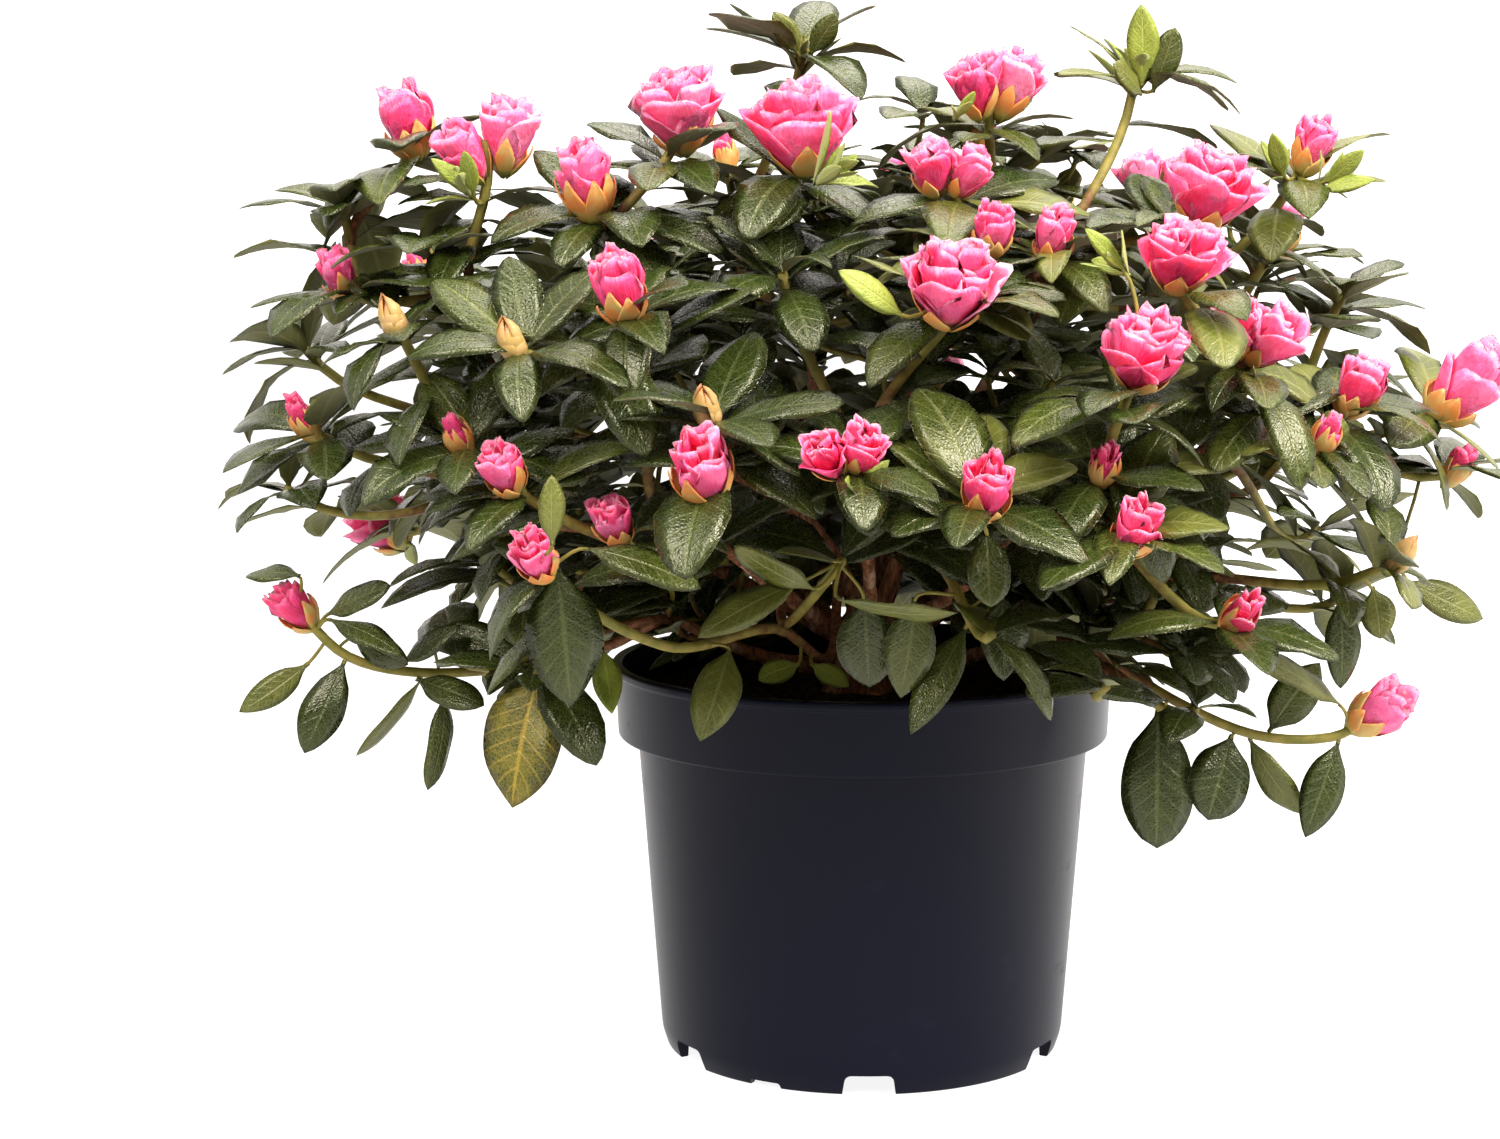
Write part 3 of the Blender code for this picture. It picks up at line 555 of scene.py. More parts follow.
def near(place, shoots, distance):
    return any((place - other["tip"]).length < distance for other in shoots)


def is_at(shoot, tip):
    """Whether a shoot is the one whose tip is at a place in millimetres."""
    return (shoot["tip"] - Vector(tip) * MM).length < 1 * MM


def on_dome(share, turn, depth):
    """A point of the crown's dome. Share runs from its foot, 0, to its top, 1."""
    rise = CROWN_FOOT + (1 - CROWN_FOOT) * share
    ring = math.sqrt(1 - rise * rise) if rise > 0 else 1 + 0.35 * rise
    unit = Vector((ring * math.cos(turn), ring * math.sin(turn), rise))
    return CROWN_CENTRE + Vector(a * b for a, b in zip(unit, CROWN_REACH)) * depth


def aim(shoot):
    """Points a shoot out of the crown and up."""
    outward = shoot["tip"] - CROWN_CENTRE
    outward = Vector(a / b for a, b in zip(outward, CROWN_REACH))
    outward.z = max(outward.z, -0.2)
    shoot["axis"] = (outward.normalized() + UP * 0.9).normalized()
    if shoot["end"] == "sprig":
        shoot["axis"] = (UP + outward * 0.1).normalized()
    for tip, way in LEANING.items():
        if is_at(shoot, tip):
            shoot["axis"] = Vector(way).normalized()
    return shoot


def plan_shoots(rng):
    """The main shoots' tips and ends. The back of the crown follows the golden-angle spiral."""
    shoots = []
    for across, back, up, end, size in FRONT_SHOOTS + LEAFY_SHOOTS:
        shoots.append({"tip": Vector((across, back, up)) * MM, "end": end, "size": size})
    for i in range(DOME_SHOOTS):
        tip = on_dome((i + 0.5) / DOME_SHOOTS, i * GOLDEN_ANGLE, rng.uniform(0.93, 1.03))
        if not near(tip, shoots, SHOOT_SPACING):
            high = tip.y > HIGH_FLOWERS_BEHIND and tip.z > HIGH_FLOWERS_FROM
            flowering = tip.y > FLOWERS_BEHIND or high
            end = BACK_ENDS[i % len(BACK_ENDS)] if flowering else "leafy"
            shoots.append({"tip": tip, "end": end})
    for i in range(INNER_SHOOTS):
        tip = on_dome((i + 0.5) / INNER_SHOOTS, i * GOLDEN_ANGLE + 1, rng.uniform(0.66, 0.78))
        if not near(tip, shoots, INNER_SPACING):
            shoots.append({"tip": tip, "end": "leafy"})
    return [aim(shoot) for shoot in shoots]


def mass_middle(name):
    bearing, height, reach = MASSES[name]
    bearing = math.radians(bearing)
    return Vector((math.cos(bearing) * reach, math.sin(bearing) * reach, height)) * MM


def nearest_mass(tip):
    return min(MASSES, key=lambda name: (tip - mass_middle(name)).length)


def in_cell(place, name, tree, shoots):
    """Whether a place is nearer to its own mass's tips than to any other mass's."""
    own = other = None
    for _, i, distance in tree.find_n(place, len(shoots)):
        if shoots[i]["mass"] == name:
            own = distance if own is None else own
        else:
            other = distance if other is None else other
        if own is not None and other is not None:
            return other - own > CELL_MARGIN
    return True


def trunk_axis(rise):
    """The middle of the leaning trunk at a height above the compost."""
    return Vector((0, 0, SOIL_TOP + GAP + rise)) + TRUNK_LEAN * (rise / TRUNK_HEIGHT)


def entry_of(name, shoots, tree):
    """Where the bough enters its mass: the first place in its cell on the way to the mass's middle."""
    own = [s["tip"] for s in shoots if s["mass"] == name]
    middle = sum(own, Vector()) / len(own)
    fork = trunk_axis(TRUNK_HEIGHT)
    share = FIRST_ENTRY
    while share < LAST_ENTRY:
        place, beyond = fork.lerp(middle, share), fork.lerp(middle, share + ENTRY_DEPTH)
        place.z -= ENTRY_SAG * (middle - fork).length * (1 - share)
        if in_cell(place, name, tree, shoots) and in_cell(beyond, name, tree, shoots):
            return place
        share += ENTRY_STEP
    return fork.lerp(middle, share)


def quadratic(start, control, end, count):
    """Points of a curve from start to end that is drawn towards control."""
    points = []
    for i in range(count):
        t = i / (count - 1)
        points.append(start * (1 - t) ** 2 + control * 2 * t * (1 - t) + end * t * t)
    return points


def bough_route(name, entry, count=24):
    """Points from the trunk's side or top to where the bough enters its mass."""
    bearing = math.atan2(entry.y, entry.x)
    out = Vector((math.cos(bearing), math.sin(bearing), 0))
    if name == "top":
        start = trunk_axis(TRUNK_HEIGHT) + UP * GAP
        heading = UP
    elif name in TOP_TIER:
        start = trunk_axis(TRUNK_HEIGHT) + UP * 1.6 * MM + out * 7 * MM
        heading = UP + out * TOP_OUTWARD
    else:
        rise = (LOW_RISE if name in LOW_TIER else SIDE_RISE) * TRUNK_HEIGHT
        flare = (1 - rise / TRUNK_HEIGHT) ** 3
        radius = TRUNK_RADIUS + (TRUNK_FLARE_RADIUS - TRUNK_RADIUS) * flare * (1 + BUTTRESS_SHARE)
        start = trunk_axis(rise) + out * (radius + 2.6 * MM)
        heading = UP * (LOW_SLOPE if name in LOW_TIER else SIDE_SLOPE) + out
    reach = (entry - start).length
    return quadratic(start, start + heading.normalized() * reach * 0.5, entry, count)


def rings_along(points):
    """For each point of a path, two unit vectors across it that don't spin round it."""
    frames, side = [], None
    for i in range(len(points)):
        ahead = (points[min(i + 1, len(points) - 1)] - points[max(i - 1, 0)]).normalized()
        side = (ahead.orthogonal() if side is None else side - ahead * side.dot(ahead)).normalized()
        frames.append((side, ahead.cross(side)))
    return frames


def faces_of(levels, sides):
    """The faces of a closed tube whose corners are laid out ring by ring."""
    faces = []
    for i in range(levels - 1):
        for k in range(sides):
            a, b = i * sides + k, i * sides + (k + 1) % sides
            faces.append((a, b, b + sides, a + sides))
    faces.append(tuple(range(sides))[::-1])
    last = (levels - 1) * sides
    faces.append(tuple(range(last, last + sides)))
    return faces


def tube_shape(points, radii, sides):
    """Corners and faces of a closed tube along a path."""
    corners = []
    for point, radius, (side, over) in zip(points, radii, rings_along(points)):
        for k in range(sides):
            turn = math.tau * k / sides
            corners.append(point + (side * math.cos(turn) + over * math.sin(turn)) * radius)
    return corners, faces_of(len(points), sides)


def trunk_shape():
    """The trunk's own solid: a squat cone with five low buttresses."""
    levels, sides = 14, 40
    corners = []
    for i in range(levels):
        rise = i / (levels - 1)
        flare = (1 - rise) ** 3
        middle = trunk_axis(rise * TRUNK_HEIGHT)
        for k in range(sides):
            bearing = math.tau * k / sides
            radius = TRUNK_RADIUS + (TRUNK_FLARE_RADIUS - TRUNK_RADIUS) * flare
            radius *= 1 + BUTTRESS_SHARE * flare * math.cos(BUTTRESSES * bearing)
            shoulder = 1 if rise < SHOULDER_FROM else SHOULDER_SHARE
            corners.append(middle + Vector((math.cos(bearing), math.sin(bearing), 0)) * radius * shoulder)
    return corners, faces_of(levels, sides)


def bark_mesh(routes):
    """Trunk and boughs grown into one skin, which is then roughened by flaking bark."""
    corners, faces = trunk_shape()
    for route in routes.values():
        inward = trunk_axis(TRUNK_HEIGHT * 0.55) - route[0]
        inward = inward.normalized() * min(inward.length, BOUGH_SINK)
        points = [route[0] + inward, route[0] + inward * 0.4, *route[1:]]
        widths = [BOUGH_ROOT_RADIUS, BOUGH_RADIUS, BOUGH_TIP_RADIUS]
        radii = np.interp(np.linspace(0, 1, len(points)), [0, 0.12, 1], widths)
        more, loops = tube_shape(points, radii, 14)
        faces += [tuple(i + len(corners) for i in loop) for loop in loops]
        corners += more
    mesh = bpy.data.meshes.new("wood")
    mesh.from_pydata(corners, [], faces)
    wood = new_object("wood", mesh)
    remesh = wood.modifiers.new("grow together", "REMESH")
    remesh.mode, remesh.voxel_size = "VOXEL", BARK_GRAIN
    skin = bpy.data.meshes.new_from_object(wood.evaluated_get(bpy.context.evaluated_depsgraph_get()))
    bpy.data.objects.remove(wood)
    work = bmesh.new()
    work.from_mesh(skin)
    every_way = {"use_axis_x": True, "use_axis_y": True, "use_axis_z": True}
    bmesh.ops.smooth_vert(work, verts=work.verts, factor=0.5, **every_way)
    work.normal_update()
    for vertex in work.verts:
        place = vertex.co
        out = place.normalized()
        strips = noise.fractal(Vector((place.x * 330, place.y * 330, place.length * 90)), 0.9, 2.1, 4)
        flakes = max(0, noise.noise(Vector((place.x * 150, place.y * 150, place.length * 60)) + out)) ** 0.6
        vertex.co = place + vertex.normal * (0.45 * strips + 0.55 * flakes - 0.2) * MM
    work.to_mesh(skin)
    work.free()
    return smoothed(skin, 180)


bark = Finish("bark", roughness=0.85, specular_ior_level=0.3)
fibres = bark.noise(bark.place((1, 1, 0.3)), 700, 5, 0.7)
patches = bark.noise(bark.place((1, 1, 0.4)), 150, 4, 0.6)
reddish = bark.mix(bark.band(fibres, 0.35, 0.68), (0.085, 0.032, 0.015), (0.37, 0.14, 0.060))
bark.feed("Base Color", bark.mix(bark.band(patches, 0.52, 0.68), reddish, (0.42, 0.25, 0.15)))
bark.feed("Normal", bark.bump(fibres + 0.8 * patches, 0.8, 0.5 * MM))

main_shoots = plan_shoots(random.Random(SEED))
for shoot in main_shoots:
    shoot["mass"] = nearest_mass(shoot["tip"])
tips = KDTree(len(main_shoots))
for i, shoot in enumerate(main_shoots):
    tips.insert(shoot["tip"], i)
tips.balance()
routes = {name: bough_route(name, entry_of(name, main_shoots, tips)) for name in MASSES}
wood = new_object("trunk_and_boughs", bark_mesh(routes), bark)
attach(wood, "root")
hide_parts("trunk", *("bough_" + name for name in MASSES))


# --- Twigs
# Each mass has a woody stem that goes on from its bough, and twigs that branch from it, brown where they are
# old and yellow green towards the tips. They branch on into finer shoots, which fill the crown with leaves.

FILL_SHOOTS = 960
FILL_SPACING = 19.8 * MM
FILL_SCATTER = 6
FILL_CLEARANCE = 12 * MM
LOW_SHOOTS = 140
LOW_SPACING = 13 * MM
LOW_HEIGHTS = (152, 200)
LOW_REACH, LOW_REACH_GROWTH = 48, 92
LOW_BEARING, LOW_SWEEP = -32, 244
EVEN_STEP = 0.618

# Where no fine shoot ends: over the rim in front, and a shaded hollow left of the middle.
OVER_RIM_TOP = 200 * MM
OVER_RIM_BACK = -20 * MM
HOLLOW_SIDES = (-110 * MM, -5 * MM)
HOLLOW_HEIGHTS = (195 * MM, 290 * MM)
HOLLOW_BACK = -75 * MM

POT_MARGIN = 1.5 * MM
SOIL_MARGIN = 2 * MM
RIM_BAND = 5 * MM
HUB_SHARE = 0.4
STEM_TIP_RADIUS = 1.6 * MM
TWIG_BASE_RADIUS = 1.95 * MM
TWIG_TIP_RADIUS = 1.8 * MM
FINE_TWIG = 0.58
TWIG_BENDS = (0.38, 0.22, 0.05)
STALK_RADIUS = 0.65 * MM

# The twigs that arch out low over the rim, each with the places it passes on its way to its tip.
ARCHING = {
    (-206, -66, 178): ((-99, -30, 158), (-130, -42, 153), (-163, -54, 153), (-188, -66, 161)),
    (184, -62, 139): ((84, -44, 159), (111, -56, 143), (140, -62, 131), (168, -62, 130)),
    (-112, -168, 210): (
        (-14, -42, 156),
        (-34, -66, 171),
        (-63, -95, 169),
        (-78, -112, 174),
        (-96, -138, 188),
    ),
    (-12, -124, 203): ((-30, -63, 172), (-15, -90, 193)),
}


class Spray:
    """Gathers many small shapes into one mesh, with the attributes and UVs that their finishes read."""

    def __init__(self):
        self.corners, self.faces, self.finish, self.uv = [], [], [], []
        self.values = {}
        self.count = 0

    def add(self, corners, faces, uv, finish=0, **values):
        """Adds quads or triangles. Finish is a slot number, or one for each face."""
        corners = np.asarray(corners, float).reshape(-1, 3)
        self.faces += [tuple(i + self.count for i in face) for face in faces]
        self.finish += [finish] * len(faces) if isinstance(finish, int) else list(finish)
        self.corners.append(corners)
        self.uv.append(np.asarray(uv, float).reshape(-1, 2))
        for key, value in values.items():
            column = np.broadcast_to(np.asarray(value, float), (len(corners),))
            self.values.setdefault(key, []).append(column)
        self.count += len(corners)

    def object(self, name, *finishes):
        mesh = bpy.data.meshes.new(name)
        mesh.from_pydata(np.concatenate(self.corners).tolist(), [], self.faces)
        mesh.polygons.foreach_set("material_index", self.finish)
        mesh.polygons.foreach_set("use_smooth", [True] * len(self.faces))
        order = np.empty(len(mesh.loops), np.int32)
        mesh.loops.foreach_get("vertex_index", order)
        layer = mesh.uv_layers.new(name="lie")
        layer.uv.foreach_set("vector", np.concatenate(self.uv)[order].ravel())
        for key, columns in self.values.items():
            mesh.attributes.new(key, "FLOAT", "POINT").data.foreach_set("value", np.concatenate(columns))
        mesh.update()
        return new_object(name, mesh, *finishes)


class Mass:
    """The joints that a mass's twigs can branch from, each a place and a heading."""

    def __init__(self, route, shoots):
        entry, heading = route[-1], (route[-1] - route[-2]).normalized()
        middle = sum((s["tip"] for s in shoots), Vector()) / len(shoots)
        hub = entry + (middle - entry) * HUB_SHARE
        straight = entry + heading * 5 * MM
        onward = cubic(straight, heading, hub, (middle - entry).normalized(), 0.35)
        self.entry = entry
        self.joints = []
        self.stem = [entry - heading * 3 * MM, entry, *onward]
        self.add_joints(onward)

    def add_joints(self, points):
        for before, place, after in zip(points, points[1:], points[2:]):
            self.joints.append((place, (after - before).normalized()))

    def best_joint(self, tip):
        """The joint from which a twig runs to a tip with the least length and turn."""
        fork = trunk_axis(TRUNK_HEIGHT)

        def cost(joint):
            place, heading = joint
            way = tip - place
            beyond = max(0, (place - fork).length - (tip - fork).length + 12 * MM)
            return way.length * (1.7 - 0.7 * way.normalized().dot(heading)) + 3 * beyond

        return min(self.joints, key=cost)


def cubic(start, heading, end, axis, bend, count=8):
    """Points of a curve that leaves start along heading and comes to end along axis."""
    reach = (end - start).length * bend
    first, last = start + heading * reach, end - axis * reach
    points = []
    for i in range(count):
        t = i / (count - 1)
        u = 1 - t
        points.append(start * u**3 + first * 3 * u * u * t + last * 3 * u * t * t + end * t**3)
    return points


def clear_of_pot(points, margin=POT_MARGIN):
    """Whether all points lie outside the pot and its compost."""
    for point in points:
        out = math.hypot(point[0], point[1])
        if point[2] < SOIL_TOP + SOIL_MARGIN and out < COLLAR_FOOT_RADIUS + margin:
            return False
        if point[2] < POT_HEIGHT + margin and RIM_RADIUS - RIM_BAND < out < RIM_RADIUS + LIP + margin:
            return False
    return True


def plan_fill(rng, shoots):
    """Finer leafy shoots between the main ones, close inside the crown and further apart towards its outside,
    then low ones at the sides and back. The place over the rim in front and a hollow left of it stay open."""
    fill = []

    def add(tip, depth):
        mass = shoots[tips.find(tip)[1]]["mass"]
        fill.append(aim({"tip": tip, "end": "leafy", "mass": mass, "fine": depth}))

    for i in range(FILL_SHOOTS):
        depth = 0.4 + 0.56 * ((i * EVEN_STEP) % 1)
        tip = on_dome((i + 0.5) / FILL_SHOOTS, i * GOLDEN_ANGLE + 0.5, depth)
        tip += Vector(rng.uniform(-FILL_SCATTER, FILL_SCATTER) for _ in range(3)) * MM
        over_rim = tip.z < OVER_RIM_TOP and tip.y < OVER_RIM_BACK
        beside = HOLLOW_SIDES[0] < tip.x < HOLLOW_SIDES[1]
        hollow = beside and HOLLOW_HEIGHTS[0] < tip.z < HOLLOW_HEIGHTS[1] and tip.y < HOLLOW_BACK
        apart = FILL_SPACING * (0.55 + 0.9 * depth)
        close = near(tip, shoots + fill, apart)
        if not (over_rim or hollow or close) and clear_of_pot([tip], FILL_CLEARANCE):
            add(tip, depth)
    for i in range(LOW_SHOOTS):
        bearing = math.radians(LOW_BEARING + LOW_SWEEP * ((i * EVEN_STEP) % 1))
        reach = (LOW_REACH + LOW_REACH_GROWTH * i / LOW_SHOOTS) * MM
        height = rng.uniform(*LOW_HEIGHTS) * MM
        tip = Vector((math.cos(bearing) * reach, math.sin(bearing) * reach, height))
        if not near(tip, shoots + fill, LOW_SPACING):
            add(tip, 0.6)
    return fill


def by_way_of(places, count=5):
    """A smooth curve through places, count points to each stretch."""
    ends = [places[0] * 2 - places[1], *places, places[-1] * 2 - places[-2]]
    points = []
    for before, start, end, after in zip(ends, ends[1:], ends[2:], ends[3:]):
        for i in range(count):
            t = i / count
            pull = (end - before) * t + (before * 2 - start * 5 + end * 4 - after) * t * t
            points.append(start + (pull + (start * 3 - before - end * 3 + after) * t**3) / 2)
    return [*points, places[-1]]


twig_skin = Finish("twig_bark", roughness=0.6, specular_ior_level=0.35)
streaks = twig_skin.noise(twig_skin.place(), 520, 4, 0.65)
blotches = twig_skin.noise(twig_skin.place(), 190, 3)
brown = twig_skin.mix(twig_skin.band(streaks, 0.35, 0.7), (0.085, 0.030, 0.012), (0.27, 0.105, 0.040))
green = twig_skin.mix(twig_skin.band(blotches, 0.3, 0.75), (0.14, 0.135, 0.018), (0.27, 0.21, 0.042))
youth = twig_skin.band(twig_skin.attribute("young") + 0.7 * (blotches - 0.5), 0.32, 0.78)
twig_skin.feed("Base Color", twig_skin.mix(youth, brown, green))
twig_skin.feed("Normal", twig_skin.bump(streaks, 0.4, 0.25 * MM))

rng = random.Random(SEED + 1)
shoots = main_shoots + plan_fill(rng, main_shoots)
twigs = Spray()


def way_past(places, tip, mass):
    """A twig's path by way of places, in millimetres, from the nearest wood that lies further in."""
    passed = [Vector(place) * MM for place in places]
    wood = [place for route in routes.values() for place in route[5:]] + [joint[0] for joint in mass.joints]
    inner = [place for place in wood if place.xy.length < passed[0].xy.length - 18 * MM]
    start = min(inner, key=lambda place: (place - passed[0]).length)
    return by_way_of([start, *passed, tip])


def add_tube(spray, points, radii, young, sides=7):
    """Lays a twig into a spray. Young runs from 0 for old wood to 1 for this year's."""
    corners, faces = tube_shape(points, radii, sides)
    youth = np.repeat(np.linspace(*young, len(points)), sides)
    spray.add(corners, faces, np.zeros((len(corners), 2)), young=youth)


for name, route in routes.items():
    own = [s for s in shoots if s["mass"] == name]
    mass = Mass(route, [s for s in own if "fine" not in s])
    add_tube(twigs, mass.stem, np.linspace(BOUGH_TIP_RADIUS, STEM_TIP_RADIUS, len(mass.stem)), (0, 0.2), 9)
    for shoot in sorted(own, key=lambda s: (s["tip"] - mass.entry).length + (30 * MM if "fine" in s else 0)):
        fine = "fine" in shoot
        place, heading = mass.best_joint(shoot["tip"])
        ways = [cubic(place, heading, shoot["tip"], shoot["axis"], bend, 10) for bend in TWIG_BENDS]
        for tip, places in ARCHING.items():
            if is_at(shoot, tip):
                ways.insert(0, way_past(places, shoot["tip"], mass))
        points = next((way for way in ways if clear_of_pot(way)), None)
        if points is None:
            shoot["lost"] = True
            continue
        radii = np.linspace(TWIG_BASE_RADIUS, TWIG_TIP_RADIUS, len(points)) * (FINE_TWIG if fine else 1)
        add_tube(twigs, points, radii, (0.3, 1.1) if fine else (0.1, 1.3))
        if shoot["end"] != "sprig":
            mass.add_joints(points[:10:2])
        shoot["path"] = points
shoots = [s for s in shoots if "lost" not in s]
piece = twigs.object("twigs", twig_skin)
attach(piece, "root")


# --- Leaves
# Evergreen leaves in whorls under the tips of the shoots. They are leathery, with a dark satin upper side, a
# net of sunken veins, a pale hairy margin and an olive underside, and each arches down from a short stalk.

LEAF_LENGTH = 42 * MM
LEAF_SLENDERNESS = 0.48
LEAF_THICKNESS = 0.4 * MM
LEAF_STATIONS = (0, 0.08, 0.2, 0.36, 0.54, 0.72, 0.86, 0.955, 1)
LEAF_ACROSS = (-1, -0.55, 0, 0.55, 1)
LEAF_CLEARANCE = 8 * MM
WHORL = (7, 8, 9)
SMALL_WHORL = (4, 5, 6)
LEAVES_BELOW = 3
LEAF_SCALES = (0.74, 1.16)
LEAF_ARCHES = (0.3, 1.25)
LEAF_SPREADS = (52, 94)
LEAF_LEAN = 0.35
LEAF_STEP = 0.9 * MM
LOW_LEAF_STEP = 6 * MM
LEAF_TILTS = (0, 0.4, -0.4, 0.8)

# Low shoots in front, under this height and before this line, bear fewer and more upright leaves.
SPARSE_TOP = 200 * MM
SPARSE_FRONT = -50 * MM

# A leaf whose number comes over these is soft or mid in tone, and the high ones get painted light: their
# number is raised, so they come out lighter.
SOFT_FROM, MID_FROM = 0.95, 0.48
PAINTED_LIGHT_FROM = 300 * MM

# The space in and before a bloom that leaves keep out of: how far it reaches and how wide it is, in part as
# shares of the bloom's radius, and which way its face looks.
BLOOM_FACE = 80 * MM
BLOOM_TOP = 22 * MM
BLOOM_UNDER = 0.8
BLOOM_SIDES = 0.92
FACE_SHARE = 0.6
FACE_MARGIN = 4 * MM
FACE_SPREAD = 0.4
FACE_FORWARD = 60 * MM
FACE_UP = 40 * MM
CLOSED_BUD_RADIUS = 9 * MM
ARCH_CLEARANCE = 22 * MM


def shell(sheet, thickness):
    """Corners and quads of a thin closed shape about a grid of points. Upper faces come first."""
    rows, columns = sheet.shape[:2]
    along = np.gradient(sheet, axis=0)
    across = np.gradient(sheet, axis=1)
    normal = np.cross(along, across)
    normal /= np.maximum(np.linalg.norm(normal, axis=2, keepdims=True), 1e-12)
    inside = (slice(1, -1), slice(1, -1))
    upper = sheet.copy()
    upper[inside] += normal[inside] * thickness / 2
    lower = sheet[inside] - normal[inside] * thickness / 2
    top = np.arange(rows * columns).reshape(rows, columns)
    under = top.copy()
    under[inside] = rows * columns + np.arange((rows - 2) * (columns - 2)).reshape(rows - 2, columns - 2)
    corners = np.concatenate([upper.reshape(-1, 3), lower.reshape(-1, 3)])
    faces = []
    for grid, order in ((top, (0, 1, 2, 3)), (under, (0, 3, 2, 1))):
        loops = np.stack([grid[:-1, :-1], grid[1:, :-1], grid[1:, 1:], grid[:-1, 1:]], axis=-1).reshape(-1, 4)
        faces += [tuple(int(loop[k]) for k in order) for loop in loops]
    return corners, faces


def for_shell(grid):
    """Values on a grid, laid out as shell's corners are."""
    return np.concatenate([grid.ravel(), grid[1:-1, 1:-1].ravel()])


def blade(stations, length, width, arch, fold, twist, sway, full, ripple):
    """The middle sheet of a leaf along +X, face to +Z, and how far along and across it each point is."""
    v = np.array(stations)
    outline = np.sin(np.pi * v ** (0.98 + 0.27 * full)) ** (0.86 - 0.27 * full)
    outline = outline * np.clip((v - 0.02) / 0.24, 0, 1) ** 0.5
    half = np.maximum(width / 2 * outline, 0.75 * MM * (1 - v) + 0.12 * MM)
    slope = 0.18 - arch * v**1.3
    step = np.diff(v, prepend=0) * length
    x = np.cumsum(np.cos(slope) * step)
    z = np.cumsum(np.sin(slope) * step)
    y = sway * length * v**2
    u = np.array(LEAF_ACROSS)
    lift = fold * np.abs(u) - 0.16 * np.abs(u) ** 3
    turn = twist * v[:, None]
    side = half[:, None] * u
    ripples = 2 * ripple * np.abs(u) ** 3 * np.sin(11 * v[:, None] + 4 * full + 1.4 * np.sign(u))
    rise = half[:, None] * (lift + ripples)
    flat = side * np.cos(turn) - rise * np.sin(turn)
    high = side * np.sin(turn) + rise * np.cos(turn)
    ahead = x[:, None] - high * np.sin(slope)[:, None]
    up = z[:, None] + high * np.cos(slope)[:, None]
    sheet = np.stack([ahead, y[:, None] + flat, up], axis=-1)
    return sheet, np.broadcast_to(v[:, None], side.shape), np.broadcast_to(u, side.shape)


def leaf_frame(axis, turn, spread, lean_up):
    """Axes along a leaf, across it and out of its upper side, for a leaf at a turn round a shoot."""
    side = axis.orthogonal().normalized()
    out = side * math.cos(turn) + axis.cross(side) * math.sin(turn)
    along = (axis * math.cos(spread) + out * math.sin(spread)).normalized()
    face = axis * math.sin(spread) - out * math.cos(spread) + UP * lean_up
    across = face.cross(along).normalized()
    return np.array([along, across, along.cross(across)])


def side_ribs(finish, along, across):
    """Runs from 0 on a side vein to 0.5 between two. The veins slant towards the leaf's tip."""
    return finish.node("ShaderNodeMath", {"operation": "PINGPONG"}, {0: along * 8.5 - across * 1.7, 1: 0.5})


def leaf_finish(name, deep, light, vein, margin, roughness):
    """The upper side of a leaf: sunken net veins, a paler midrib and a pale hairy margin."""
    finish = Finish(name, roughness=roughness, specular_ior_level=0.6, specular_tint=(1, 0.96, 0.76, 1))
    across = abs(finish.attribute("across"))
    along = finish.attribute("along")
    cells = {"Vector": finish.lie(), "Scale": 760.0}
    net = finish.node("ShaderNodeTexVoronoi", {"feature": "DISTANCE_TO_EDGE"}, cells)
    netting = 1 - finish.band(net, 0.02, 0.16)
    side_veins = 1 - finish.band(side_ribs(finish, along, across), 0.02, 0.12)
    midrib = 1 - finish.band(across, 0.015, 0.10)
    rim = finish.band(across, 0.955, 0.995)
    clouds = finish.noise(finish.place(), 95, 3)
    green = finish.mix(finish.band(clouds, 0.3, 0.7), deep, light)
    veined = finish.mix((0.35 * netting + 0.4 * side_veins + 0.75 * midrib).clamped(), green, vein)
    finish.feed("Base Color", finish.mix(rim * 0.6, veined, margin))
    finish.feed("Roughness", roughness - 0.09 + 0.16 * netting + 0.1 * clouds)
    relief = 0.9 * net - 0.3 * side_veins - 0.8 * midrib
    finish.feed("Normal", finish.bump(relief, 0.8, 0.32 * MM))
    return finish


def underside_finish(name, base, vein):
    """A leaf's matt underside, with the midrib standing out."""
    finish = Finish(name, roughness=0.7, specular_ior_level=0.3, sheen_weight=0.2)
    across = abs(finish.attribute("across"))
    ribs = side_ribs(finish, finish.attribute("along"), across)
    veins = (0.5 * (1 - finish.band(ribs, 0.02, 0.14)) + (1 - finish.band(across, 0.03, 0.12))).clamped()
    finish.feed("Base Color", finish.mix(veins * 0.7, base, vein))
    finish.feed("Normal", finish.bump(veins, 0.5, 0.4 * MM))
    return finish


# Deep, mid and soft are darker and lighter copies of one green. A leaf is dealt one partly at random and
# partly as painted light and shade, by where it grows; turning is a colour of its own.
LEAF_TONES = {
    "deep": leaf_finish("leaf_deep", (0.008, 0.017, 0.0015), (0.022, 0.034, 0.0034), (0.058, 0.072, 0.018),
                        (0.17, 0.15, 0.06), 0.25),
    "mid": leaf_finish("leaf_mid", (0.018, 0.031, 0.0025), (0.046, 0.060, 0.006), (0.100, 0.112, 0.028),
                       (0.24, 0.22, 0.10), 0.26),
    "soft": leaf_finish("leaf_soft", (0.056, 0.072, 0.007), (0.105, 0.118, 0.015), (0.18, 0.18, 0.048),
                        (0.31, 0.28, 0.12), 0.33),
    "turning": leaf_finish("leaf_turning", (0.020, 0.034, 0.003), (0.135, 0.120, 0.010), (0.34, 0.24, 0.025),
                           (0.16, 0.10, 0.04), 0.38),
}
# The leaves deep in the crown are a piece of their own, mostly in the dark deep tone as painted shade.
LEAF_TONES["inner"] = LEAF_TONES["deep"]
leaf_under = underside_finish("leaf_underside", (0.135, 0.140, 0.030), (0.23, 0.22, 0.07))

